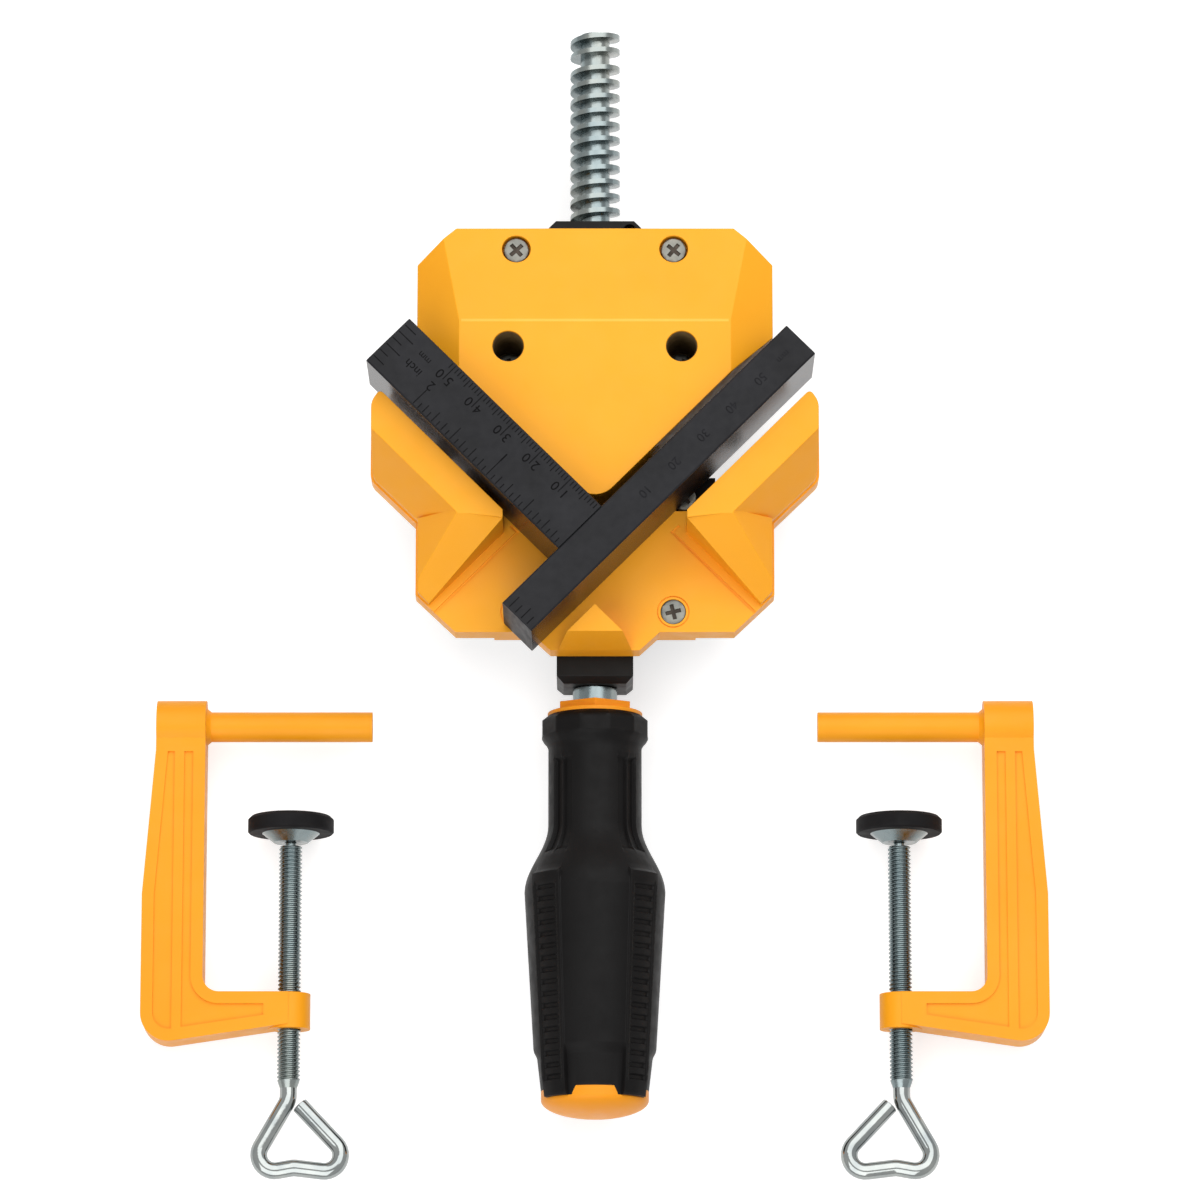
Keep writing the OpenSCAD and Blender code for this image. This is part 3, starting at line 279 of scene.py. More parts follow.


# A dark brown for the skins in the jaw's deep holes: painted shade.
def bare_casting():
    s = Shader("bare_casting", Specular_IOR_Level=0.1)
    s.set("Base Color", s.tones(s.noise(300), srgb(104, 86, 58), srgb(132, 110, 74)))
    s.set("Roughness", s.span(s.noise(700), 0.6, 0.8))
    s.bump(s.noise(1500, 3), ROUGH_GRAIN, 0.15)
    return s.material


SIN_45 = math.sqrt(0.5)
MATERIALS = {
    "yellow_casting": painted_yellow("yellow_powder_coat", srgb(252, 169, 30), srgb(255, 175, 36)),
    "black_casting": black_coat(),
    "black_nylon": black_nylon(),
    "zinc_steel": zinc_steel(),
    "nut_brass": turned_brass(),
    "yellow_plastic": yellow_plastic(),
    "grip_rubber": grip_rubber(),
    "square_black": square_black("anodised_stem", (SIN_45, SIN_45, 0)),
    "pad_rubber": pad_rubber(),
}
MARK = sunk_mark("engraved_mark", srgb(8, 8, 9), srgb(14, 14, 15))
FAINT_MARK = sunk_mark("faint_mark", srgb(29, 29, 31), srgb(38, 38, 41))
# A lighter yellow for the jaw's crease strip: a painted highlight.
CREASE_HIGHLIGHT = painted_yellow("painted_crease_highlight", srgb(255, 188, 62), srgb(255, 196, 76))
# Painted shade for the floors of the cross recesses.
SHADE_IN_RECESS = sunk_mark("recess_shade", srgb(66, 60, 54), srgb(92, 84, 76))
HOLE_SHADE = bare_casting()
SCREW_STEEL = screw_steel()
BRIGHT_WIRE = bright_wire()
# A darker, more orange copy of the yellow powder coat for the bench frames: painted shade for the
# dimmer light at the bench clamps, furthest from the key light.
BENCH_YELLOW_SHADED = painted_yellow("yellow_coat_painted_shade", srgb(249, 160, 20), srgb(252, 166, 26))
HEAD_BLACK = square_black("anodised_head", (-SIN_45, SIN_45, 0))


# ---------------------------------------------------------------- mesh tools

SHARP = 24              # degrees between two faces from which their edge is rounded
FLAT = 0.4              # degrees up to which two faces count as one
EDGE_SEGMENTS = 3
WELD_M = 1e-6
WELD_MM = 1e-4
RUN_OUT = 1.5           # turns of thread cut off at each end
CUT_EASE = ((0.1, 0.97), (0.17, 0.86))  # (past the end, size) of a wire's cut end, in its radii


def piece(name, bm, node, stands_for=(), sharp=35, material=None):
    """Turns a mesh in millimetres into a piece on the node's body, in the node's material slot."""
    bmesh.ops.recalc_face_normals(bm, faces=bm.faces)
    bmesh.ops.scale(bm, vec=(MM, MM, MM), verts=bm.verts)
    for face in bm.faces:
        face.smooth = True
    for edge in bm.edges:
        edge.smooth = len(edge.link_faces) == 2 and edge.calc_face_angle() < math.radians(sharp)
    mesh = bpy.data.meshes.new(name)
    bm.to_mesh(mesh)
    bm.free()
    obj = bpy.data.objects.new(name, mesh)
    bpy.context.scene.collection.objects.link(obj)
    mesh.materials.append(material or MATERIALS[SLOT_OF[node]])
    normals = obj.modifiers.new("face_normals", "WEIGHTED_NORMAL")
    normals.keep_sharp = True
    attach(obj, BODY_OF[node])
    if stands_for:
        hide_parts(*stands_for)


def add_mesh(bm, other):
    """Copies one bmesh into another, and frees it."""
    mesh = bpy.data.meshes.new("part")
    other.to_mesh(mesh)
    other.free()
    bm.from_mesh(mesh)
    bpy.data.meshes.remove(mesh)


def turn(bm, profile, x, z, steps=48):
    """Turns (radius, y) points about a line along Y; a radius of 0 closes an end."""
    rings = []
    for r, y in profile:
        angles = [2 * math.pi * i / steps for i in range(steps)] if r else [0]
        rings.append([bm.verts.new((x + r * math.sin(a), y, z + r * math.cos(a))) for a in angles])
    for a, b in zip(rings, rings[1:]):
        for i in range(steps):
            j = (i + 1) % steps
            corners = [a[i % len(a)], b[i % len(b)], b[j % len(b)], a[j % len(a)]]
            bm.faces.new(list(dict.fromkeys(corners)))


def thread(bm, y0, y1, x, z, r_out, r_core, pitch, crest, flank, steps=32):
    """A right-hand thread along Y from y0 to y1, closed at both ends."""
    root = pitch - crest - 2 * flank
    profile = [(0, r_core), (root, r_core), (root + flank, r_out), (root + flank + crest, r_out)]
    start = y0 - RUN_OUT * pitch
    rows = math.ceil((y1 - start + RUN_OUT * pitch) / pitch * steps)
    part = bmesh.new()
    grid = []
    for k in range(rows + 1):
        a = 2 * math.pi * k / steps
        y = start + pitch * k / steps
        grid.append([part.verts.new((x + r * math.sin(a), y + dy, z + r * math.cos(a)))
                     for dy, r in profile])
    for k in range(rows):
        for i in range(3):
            part.faces.new((grid[k][i], grid[k][i + 1], grid[k + 1][i + 1], grid[k + 1][i]))
        if k + 1 + steps <= rows:
            part.faces.new((grid[k][3], grid[k + steps][0], grid[k + 1 + steps][0], grid[k + 1][3]))
    for y, side in ((y0, -1), (y1, 1)):
        bmesh.ops.bisect_plane(part, geom=part.verts[:] + part.edges[:] + part.faces[:],
                               plane_co=(0, y, 0), plane_no=(0, side, 0), clear_outer=True)
    bmesh.ops.holes_fill(part, edges=[e for e in part.edges if e.is_boundary], sides=0)
    add_mesh(bm, part)


def sweep(bm, stations, r, z, sides=20):
    """A round wire through (x, y, heading) stations in a level plane, with its cut ends eased."""
    rings = []
    last = len(stations) - 1
    rows = [(0, -past, size) for past, size in reversed(CUT_EASE)]
    rows += [(i, 0, 1) for i in range(last + 1)]
    rows += [(last, past, size) for past, size in CUT_EASE]
    angles = [2 * math.pi * k / sides for k in range(sides)]
    for i, ahead, shrink in rows:
        x, y, heading = stations[i]
        centre = Vector((x, y, z)) + Vector((math.cos(heading), math.sin(heading), 0)) * ahead * r
        across = Vector((-math.sin(heading), math.cos(heading), 0))
        spokes = [across * math.cos(a) + Vector((0, 0, math.sin(a))) for a in angles]
        rings.append([bm.verts.new(centre + r * shrink * spoke) for spoke in spokes])
    for a, b in zip(rings, rings[1:]):
        for k in range(sides):
            n = (k + 1) % sides
            bm.faces.new((a[k], b[k], b[n], a[n]))
    bm.faces.new(rings[0])
    bm.faces.new(rings[-1])


def cad_copy(node):
    """The node's own mesh, with its flat faces whole."""
    bm = bmesh.new()
    bm.from_mesh(frame["nodes"][node].data)
    bmesh.ops.remove_doubles(bm, verts=bm.verts, dist=WELD_M)
    bmesh.ops.dissolve_limit(bm, angle_limit=math.radians(FLAT), verts=bm.verts, edges=bm.edges)
    return bm


def hard_edges(bm):
    """The edges where two faces meet at a clear angle."""
    return [e for e in bm.edges
            if len(e.link_faces) == 2 and e.calc_face_angle() > math.radians(SHARP)]


def bevelled(node, width, reshape=None, material=None):
    """Replaces a CAD node by a copy of it whose edges are rounded."""
    bm = cad_copy(node)
    if reshape:
        reshape(bm)
    bmesh.ops.bevel(bm, geom=hard_edges(bm), offset=width * MM, offset_type="OFFSET",
                    segments=EDGE_SEGMENTS, profile=0.5, affect="EDGES",
                    clamp_overlap=True, loop_slide=True)
    bmesh.ops.scale(bm, vec=(1 / MM, 1 / MM, 1 / MM), verts=bm.verts)
    piece(node + "_cast", bm, node, [node], material=material)


# ---------------------------------------------------------------- castings and mouldings

RECESS_OFFSET = 4.5     # a recess's floor from the frame's middle
RECESS_FILL = 0.35
SAME_LEVEL = 0.01


def soften_recesses(bm):
    """Makes the recesses of a bench frame shallower, as paint that runs into them does."""
    heights = [v.co.z for v in bm.verts]
    middle = (min(heights) + max(heights)) / 2
    for v in bm.verts:
        off = (v.co.z - middle) / MM
        if abs(abs(off) - RECESS_OFFSET) < SAME_LEVEL:
            v.co.z += math.copysign(RECESS_FILL * MM, off)


CORNER_R = 1.3
CORNER_SEGMENTS = 5
CORNERS_FROM = 50       # from the middle along X; nearer corners lie too close together
UPRIGHT = 0.95          # least rise of an upright edge, as a share of its length


def round_corners(bm):
    """Rounds the upright outer corners at the far ends of a casting."""
    upright = [e for e in bm.edges if len(e.link_faces) == 2
               and e.calc_face_angle_signed() > math.radians(SHARP)
               and min(abs(v.co.x) for v in e.verts) > CORNERS_FROM * MM
               and abs(e.verts[0].co.z - e.verts[1].co.z) > UPRIGHT * e.calc_length()]
    bmesh.ops.bevel(bm, geom=upright, offset=CORNER_R * MM, offset_type="OFFSET",
                    segments=CORNER_SEGMENTS, profile=0.5, affect="EDGES",
                    clamp_overlap=True, loop_slide=True)


EDGE_ROUNDS = {"jaw_block": 0.8, "underframe": 0.5, "guide_plate": 0.3, "nut_housing": 0.5}
CORNERED_ROUNDS = {"base_casting": 0.45, "left_fence": 0.8, "right_fence": 0.8}
FRAME_ROUND = 0.45
for node_name, radius in EDGE_ROUNDS.items():
    bevelled(node_name, radius)
for node_name, radius in CORNERED_ROUNDS.items():
    bevelled(node_name, radius, reshape=round_corners)
# The bench frames take the copy of the coat with painted shade.
for node_name in ("left_bench_frame", "right_bench_frame"):
    bevelled(node_name, FRAME_ROUND, reshape=soften_recesses, material=BENCH_YELLOW_SHADED)

BUSH_ROUND = 0.3
BUSH_NOSE = -15.0       # Y in front of which the bushing is drawn in
BUSH_TRIM = 1.9
CORE_ROUND = 0.25
BUTT_START = 118.7      # from the corner, towards the user
BUTT_FLATTEN = 0.68


def trim_bushing(bm):
    """Draws the bushing's front in, so that the collar shows as it does in the photograph."""
    for v in bm.verts:
        if v.co.y < BUSH_NOSE * MM:
            v.co.y += BUSH_TRIM * MM


def flatten_butt(bm):
    """Gives the butt of the handle its shallow crown."""
    for v in bm.verts:
        past = -v.co.y - BUTT_START * MM
        if past > 0:
            v.co.y += (1 - BUTT_FLATTEN) * past


bevelled("front_bushing", BUSH_ROUND, reshape=trim_bushing)
bevelled("handle_core", CORE_ROUND, reshape=flatten_butt)

CREASE_Y = 70.5
CREASE_X = 33.0
CREASE_SECTION = [(-0.32, -0.1), (-0.32, 0.01), (-0.12, 0.035),
                  (0.12, 0.03), (0.34, -0.035), (0.34, -0.15)]


def jaw_crease():
    """The eased line across the jaw's top, a thin strip in a lighter yellow: a painted highlight
    along the crease.
    """
    top = box_mm("jaw_block")[1].z
    bm = bmesh.new()
    ends = [[bm.verts.new((x, CREASE_Y + y, top + z)) for y, z in CREASE_SECTION]
            for x in (-CREASE_X, CREASE_X)]
    for i in range(len(CREASE_SECTION)):
        j = (i + 1) % len(CREASE_SECTION)
        bm.faces.new((ends[0][i], ends[1][i], ends[1][j], ends[0][j]))
    for end in ends:
        bm.faces.new(end)
    piece("jaw_crease", bm, "jaw_block", material=CREASE_HIGHLIGHT)


jaw_crease()


# ---------------------------------------------------------------- lead screw and its collar

LEAD_PITCH = 3.75
LEAD_CREST = 1.2
LEAD_FLANK = 0.35
LEAD_CORE_R = 3.7
SHAFT_R = 4.5
SHAFT_CLEAR = 0.05
SHAFT_OVERLAP = 0.2     # plain lengths reach this far into the threads
THREAD_START = 4.3
END_RING = 6.2
END_GAP = 2.2
COLLAR_EDGE = 0.2


def thrust_collar():
    """The bright collar that runs up to the bushing."""
    low, high = box_mm("thrust_collar")
    r, bore = (high.x - low.x) / 2, SHAFT_R + SHAFT_CLEAR
    end = high.y + BUSH_TRIM
    profile = [(bore, low.y), (r - COLLAR_EDGE, low.y), (r, low.y + COLLAR_EDGE),
               (r, end - COLLAR_EDGE), (r - COLLAR_EDGE, end), (bore, end), (bore, low.y)]
    bm = bmesh.new()
    turn(bm, profile, 0, (low.z + high.z) / 2)
    bmesh.ops.remove_doubles(bm, verts=bm.verts, dist=WELD_MM)
    piece("thrust_collar_turned", bm, "thrust_collar", ["thrust_collar"])


thrust_collar()


def plain_length(bm, r, y0, y1, x, z):
    turn(bm, [(0, y0), (r, y0), (r, y1), (0, y1)], x, z)


def lead_screw():
    """The shaft, its coarse thread, and the threaded end ring behind a plain gap."""
    low, high = box_mm("lead_screw")
    x, z = (low.x + high.x) / 2, (low.z + high.z) / 2
    r = (high.x - low.x) / 2
    ring = high.y - END_RING
    gap = ring - END_GAP
    bm = bmesh.new()
    plain_length(bm, SHAFT_R, low.y, THREAD_START + SHAFT_OVERLAP, x, z)
    shape = (x, z, r, LEAD_CORE_R, LEAD_PITCH, LEAD_CREST, LEAD_FLANK)
    thread(bm, THREAD_START, gap, *shape)
    plain_length(bm, LEAD_CORE_R, gap - SHAFT_OVERLAP, ring + SHAFT_OVERLAP, x, z)
    thread(bm, ring, high.y, *shape)
    piece("lead_screw_threaded", bm, "lead_screw", ["lead_screw"])


lead_screw()


# ---------------------------------------------------------------- bench screws

BENCH_PITCH = 1.0
BENCH_DEPTH = 0.45
BENCH_CREST = 0.14
BENCH_FLANK = 0.36
BENCH_STEPS = 24
WIRE_R = 2.12
HEART_POINTS = [(0, 1), (0, -3.2), (10.9, -22.2), (-1.5, -20), (-19.6, -22.2), (-3.0, -4.65)]
HEART_BENDS = [0, 5, 4, 5, 4, 0]
BEND_STEPS = 12
SCREW_LOW = -114.4
TAPER_LEN = 1.6
TAPER_EDGE = 0.1
TAPER_OVERLAP = 0.3
TAPER_STEPS = 32


def wire_stations(points, bends):
    """(x, y, heading) along a wire through the points, with a round bend at each inner one."""
    points = [Vector(p) for p in points]
    heads = [math.atan2(*(b - a).yx) for a, b in zip(points, points[1:])]
    stations = [(*points[0], heads[0])]
    for i in range(1, len(points) - 1):
        turn_by = (heads[i] - heads[i - 1] + math.pi) % (2 * math.pi) - math.pi
        side = math.copysign(1, turn_by)
        r = bends[i]
        lead_in = Vector((math.cos(heads[i - 1]), math.sin(heads[i - 1])))
        start = points[i] - lead_in * r * math.tan(abs(turn_by) / 2)
        centre = start + side * r * Vector((-lead_in.y, lead_in.x))
        for k in range(BEND_STEPS + 1):
            h = heads[i - 1] + turn_by * k / BEND_STEPS
            at = centre - side * r * Vector((-math.sin(h), math.cos(h)))
            stations.append((at.x, at.y, h))
    stations.append((*points[-1], heads[-1]))
    return stations


def bench_screw(side):
    """The fine thread with its tapered end, and the wire bent to a heart, as two pieces."""
    node = side + "_bench_screw"
    low, high = box_mm(node)
    hand = -1 if side == "left" else 1
    cup_low, cup_high = box_mm(side + "_bench_cup")
    x, z = (cup_low.x + cup_high.x) / 2, (low.z + high.z) / 2
    r = (high.z - low.z) / 2
    bm = bmesh.new()
    taper_end = SCREW_LOW + TAPER_LEN
    thread(bm, taper_end, high.y, x, z, r, r - BENCH_DEPTH,
           BENCH_PITCH, BENCH_CREST, BENCH_FLANK, BENCH_STEPS)
    turn(bm, [(0, SCREW_LOW - TAPER_OVERLAP), (WIRE_R, SCREW_LOW - TAPER_OVERLAP),
              (r - TAPER_EDGE, taper_end), (r - BENCH_DEPTH, taper_end + TAPER_OVERLAP),
              (0, taper_end + TAPER_OVERLAP)], x, z, TAPER_STEPS)
    piece(node + "_thread", bm, node, [node])
    wire = bmesh.new()
    path = [(x + hand * px, SCREW_LOW + py) for px, py in HEART_POINTS]
    sweep(wire, wire_stations(path, HEART_BENDS), WIRE_R, z)
    piece(node + "_wire", wire, node, [node], material=BRIGHT_WIRE)


for hand_side in ("left", "right"):
    bench_screw(hand_side)


# ---------------------------------------------------------------- cross-head screws

SHANK_R = 1.6
HEAD_H = 2.2
FLOOR_HEAD_D = 6.25
JAW_HEAD_D = 6.3
HOUSING_HEAD_D = 5.4
HEAD_ROUND = 0.35
HEAD_EASE = (0.1, 0.12)     # (in, down) of the point halfway round the head's edge
HEAD_SHARP = 30
CROSS_REACH = 0.62
CROSS_HALF = 0.16
CROSS_DEPTH = 0.9
CROSS_DRAFT = 0.78
RECESS_DEPTH = 0.35


def cross_outline(head_r, turn_by):
    """The corners of a cross recess's mouth."""
    a, b = head_r * CROSS_REACH, head_r * CROSS_HALF
    arm = [(a, -b), (a, b), (b, b)]
    return [Matrix.Rotation(turn_by + q * math.pi / 2, 2) @ Vector(p)
            for q in range(4) for p in arm]


def recess_floor(head_r, turn_by):
    """A dark slug that fills the lower part of a cross recess: painted shade on its floor."""
    bm = bmesh.new()
    cross = cross_outline(head_r, turn_by)
    drawn_in = 1 - (1 - CROSS_DRAFT) * RECESS_DEPTH / CROSS_DEPTH
    upper = [bm.verts.new((p.x * drawn_in, p.y * drawn_in, -RECESS_DEPTH)) for p in cross]
    lower = [bm.verts.new((p.x * CROSS_DRAFT, p.y * CROSS_DRAFT, -CROSS_DEPTH)) for p in cross]
    for i in range(len(cross)):
        j = (i + 1) % len(cross)
        bm.faces.new((upper[i], lower[i], lower[j], upper[j]))
    bm.faces.new(upper)
    bm.faces.new(lower)
    return bm


def cross_screw(head_r, length, turn_by, steps=40):
    """A screw along Z whose head's top is at 0: a rounded head with a cross recess, and a shank."""
    bm = bmesh.new()
    cross = cross_outline(head_r, turn_by)

    def ring(points, z):
        return [bm.verts.new((p[0], p[1], z)) for p in points]

    def circle(r):
        angles = [2 * math.pi * i / steps for i in range(steps)]
        return [(r * math.cos(t), r * math.sin(t)) for t in angles]

    def bridge(upper, lower):
        count = len(upper)
        for i in range(count):
            j = (i + 1) % count
            bm.faces.new((upper[i], lower[i], lower[j], upper[j]))

    rim = ring(circle(head_r - HEAD_ROUND), 0)
    mouth = ring(cross, 0)
    loops = [bm.edges.new((c[i], c[(i + 1) % len(c)])) for c in (rim, mouth) for i in range(len(c))]
    bmesh.ops.triangle_fill(bm, edges=loops, use_beauty=True)
    floor = ring([p * CROSS_DRAFT for p in cross], -CROSS_DEPTH)
    bridge(mouth, floor)
    bm.faces.new(floor)
    rows = [rim, ring(circle(head_r - HEAD_EASE[0]), -HEAD_EASE[1]),
            ring(circle(head_r), -HEAD_ROUND), ring(circle(head_r), -HEAD_H),
            ring(circle(SHANK_R), -HEAD_H), ring(circle(SHANK_R), -length)]
    for upper, lower in zip(rows, rows[1:]):
        bridge(upper, lower)
    bm.faces.new(rows[-1])
    return bm


def screws(node, places, head_r, turns, axis_y=False):
    """Cross-head screws at the node's own places: (x, y, top) along Z, or (x, back, z) along Y."""
    low, high = box_mm(node)
    length = high.y - low.y if axis_y else high.z - low.z
    heads, shade_slugs = bmesh.new(), bmesh.new()
    for place, turn_by in zip(places, turns):
        matrix = Matrix.Translation(place)
        if axis_y:
            matrix = matrix @ Matrix.Rotation(-math.pi / 2, 4, "X")
        for bm, one in ((heads, cross_screw(head_r, length, math.radians(turn_by))),
                        (shade_slugs, recess_floor(head_r, math.radians(turn_by)))):
            bmesh.ops.transform(one, matrix=matrix, verts=one.verts)
            add_mesh(bm, one)
    piece(node + "_cross", heads, node, [node], sharp=HEAD_SHARP, material=SCREW_STEEL)
    # The slugs carry painted shade in the cross recesses.
    piece(node + "_recess", shade_slugs, node, material=SHADE_IN_RECESS)


def pair(node, head_d, turns, axis_y=False):
    """A left and a right screw, placed from the node's own box."""
    low, high = box_mm(node)
    r = head_d / 2
    x = high.x - r
    if axis_y:
        places = [(s * x, high.y, (low.z + high.z) / 2) for s in (-1, 1)]
    else:
        places = [(s * x, (low.y + high.y) / 2, high.z) for s in (-1, 1)]
    screws(node, places, r, turns, axis_y)


pair("base_screws", FLOOR_HEAD_D, (20, 14))
pair("guide_screws", FLOOR_HEAD_D, (30, 52))
pair("jaw_top_screws", JAW_HEAD_D, (42, 50))
pair("jaw_deep_screws", JAW_HEAD_D, (5, 60))
pair("housing_screws", HOUSING_HEAD_D, (12, 33), axis_y=True)


# ---------------------------------------------------------------- deep holes in the jaw

HOLE_R = 3.8
# How far below the jaw's top the painted shade in the deep holes begins.
SHADE_BELOW_TOP = 0.6
SKIN = 0.08


def deep_hole_walls():
    """A dark skin on the walls of the deep holes, from a little below the top: painted shade in the
    holes.
    """
    low, high = box_mm("jaw_deep_screws")
    top = box_mm("jaw_block")[1].z - SHADE_BELOW_TOP
    floor = high.z - HEAD_H
    ledge = JAW_HEAD_D / 2 + SKIN
    x, y = high.x - JAW_HEAD_D / 2, (low.y + high.y) / 2
    bm = bmesh.new()
    for side in (-1, 1):
        tube = bmesh.new()
        profile = [(HOLE_R, floor), (HOLE_R, top), (HOLE_R - SKIN, top),
                   (HOLE_R - SKIN, floor + SKIN), (ledge, floor + SKIN), (ledge, floor),
                   (HOLE_R, floor)]
        turn(tube, profile, 0, 0)
        bmesh.ops.remove_doubles(tube, verts=tube.verts, dist=WELD_MM)
        upright = Matrix.Translation((side * x, y, 0)) @ Matrix.Rotation(math.pi / 2, 4, "X")
        bmesh.ops.transform(tube, matrix=upright, verts=tube.verts)
        add_mesh(bm, tube)
    piece("jaw_deep_hole_walls", bm, "jaw_block", material=HOLE_SHADE)


deep_hole_walls()


# ---------------------------------------------------------------- handle grip

# Distances run from the corner towards the user, and angles are in degrees round the grip.
GRIP_START = 22.8
COLLAR = (24.2, 27.8)
NECK = (30.9, 50.2)
BELLY = 67.2
TAIL = 106.2
BAND = 108.7
GRIP_END = 118.7
FLANGE_R, COLLAR_R, NECK_R = 11.8, 13.5, 11.6
BELLY_R, TAIL_R, BAND_R, BUTT_R = 17.45, 15.15, 14.2, 13.3
CORE_R = 8.53
COLLAR_FLAT = 13.1
COLLAR_SIDE = 30
COLLAR_BEFORE, COLLAR_PAST, COLLAR_EASE = 1, 0.4, 0.8
WINDOW_HALF = 23
WINDOW_EASE = 5
WINDOW_LEN = 2.2
PANEL_HALF = 15.5
PANEL_EASE = 1.4
RAIL = 3.6
RAIL_RISE = 0.3
SLOT_IN = 5.2
RIM_EASE = 1.0
END_EASE = 1.0
PANEL_START = 63.2
PANEL_PAST = 9
PANEL_FADE = 6
SLOT_START = 66.4
SLOT_PITCH = 2.93
SLOT_LEN = 1.5
SLOTS = 17
SLOT_DEPTH = 0.5
RIM_RISE = 0.45
RIM_FADE = 3
FLUTE = (34.4, 57.6)
FLUTE_HALF = 15.6
FLUTE_EASE = 1.5
FLUTE_DEPTH = 1.1
FLUTE_RIDGE = 1.5
RIDGE_SHARE = 0.7       # height of the ridge in a flute, as a share of its depth
EASE = 0.35
ANGLE_GAP = 4
ROW_GAP = 1.2
GRIP_SHARP = 50


def blend(t):
    """A smooth step from 0 to 1."""
    t = min(max(t, 0.0), 1.0)
    return t * t * (3 - 2 * t)


def within(value, high, ease):
    """1 up to high, easing to 0 past it."""
    return blend((high - value) / ease + 0.5)


def between(value, low, high, ease):
    """1 between low and high, easing to 0 outside them."""
    return blend((value - low) / ease + 0.5) * within(value, high, ease)


def profile_r(s):
    """Radius of the plain grip at a distance from the corner."""
    if s < COLLAR[0]:
        return FLANGE_R + (COLLAR_R - FLANGE_R) * (s - GRIP_START) / (COLLAR[0] - GRIP_START)
    if s < COLLAR[1]:
        return COLLAR_R
    if s < NECK[0]:
        return COLLAR_R + (NECK_R - COLLAR_R) * blend((s - COLLAR[1]) / (NECK[0] - COLLAR[1]))
    if s < NECK[1]:
        return NECK_R
    if s < BELLY:
        swell = (1 - math.cos(math.pi * (s - NECK[1]) / (BELLY - NECK[1])))
        return NECK_R + (BELLY_R - NECK_R) * swell / 2
    if s < TAIL:
        return BELLY_R + (TAIL_R - BELLY_R) * (s - BELLY) / (TAIL - BELLY)
    if s < BAND:
        return TAIL_R + (BAND_R - TAIL_R) * blend((s - TAIL) / (BAND - TAIL))
    return BAND_R + (BUTT_R - BAND_R) * (s - BAND) / (GRIP_END - BAND)


def panel_r(s):
    """Radius of a side panel, which keeps its taper past the tail's step."""
    taper = BELLY_R + (TAIL_R - BELLY_R) * (s - BELLY) / (TAIL - BELLY)
    return min(taper, BELLY_R) + RIM_RISE * blend((GRIP_END - s) / PANEL_FADE)


def grip_r(degrees, s):
    """Radius of the finished grip: a collar of flats, a fluted neck and four laddered panels."""
    r = profile_r(s)
    from_flat = math.radians((degrees + COLLAR_SIDE / 2) % COLLAR_SIDE - COLLAR_SIDE / 2)
    collar = between(s, COLLAR[0] - COLLAR_BEFORE, COLLAR[1] + COLLAR_PAST, COLLAR_EASE)
    r += collar * (min(COLLAR_FLAT / math.cos(from_flat), COLLAR_R) - COLLAR_R)
    from_panel = abs(degrees % 90 - 45)
    ridge = RIDGE_SHARE * within(from_panel, FLUTE_RIDGE, FLUTE_EASE)
    fluted = within(from_panel, FLUTE_HALF, FLUTE_EASE) - ridge
    r -= FLUTE_DEPTH * between(s, *FLUTE, END_EASE) * fluted
    raised = between(s, PANEL_START, GRIP_END + PANEL_PAST, END_EASE)
    raised *= within(from_panel, PANEL_HALF, PANEL_EASE)
    r += raised * max(panel_r(s) - r, RIM_RISE * blend((GRIP_END - s) / RIM_FADE))
    ladder = (SLOT_START, SLOT_START + SLOTS * SLOT_PITCH - SLOT_LEN)
    inside_rails = within(from_panel, PANEL_HALF - RAIL, RIM_EASE)
    r -= RAIL_RISE * between(s, *ladder, END_EASE) * inside_rails
    if ladder[0] - EASE < s < ladder[1] + EASE:
        along = between((s - SLOT_START) % SLOT_PITCH, EASE, SLOT_LEN, EASE)
        r -= SLOT_DEPTH * along * within(from_panel, PANEL_HALF - SLOT_IN, RIM_EASE)
    return r


def window_back(degrees, s):
    """How far the grip's end draws back where the butt shows between two panels."""
    from_window = abs((degrees + 45) % 90 - 45)
    share = max(0.0, (s - BAND) / (GRIP_END - BAND))
    return WINDOW_LEN * share * within(from_window, WINDOW_HALF, WINDOW_EASE)


def spaced(keys, gap):
    """The sorted key places, with more between them where they lie further apart than the gap."""
    keys = sorted(set(round(k, 4) for k in keys))
    places = []
    for a, b in zip(keys, keys[1:]):
        parts = math.ceil((b - a) / gap)
        places += [a + (b - a) * i / parts for i in range(parts)]
    return places + [keys[-1]]


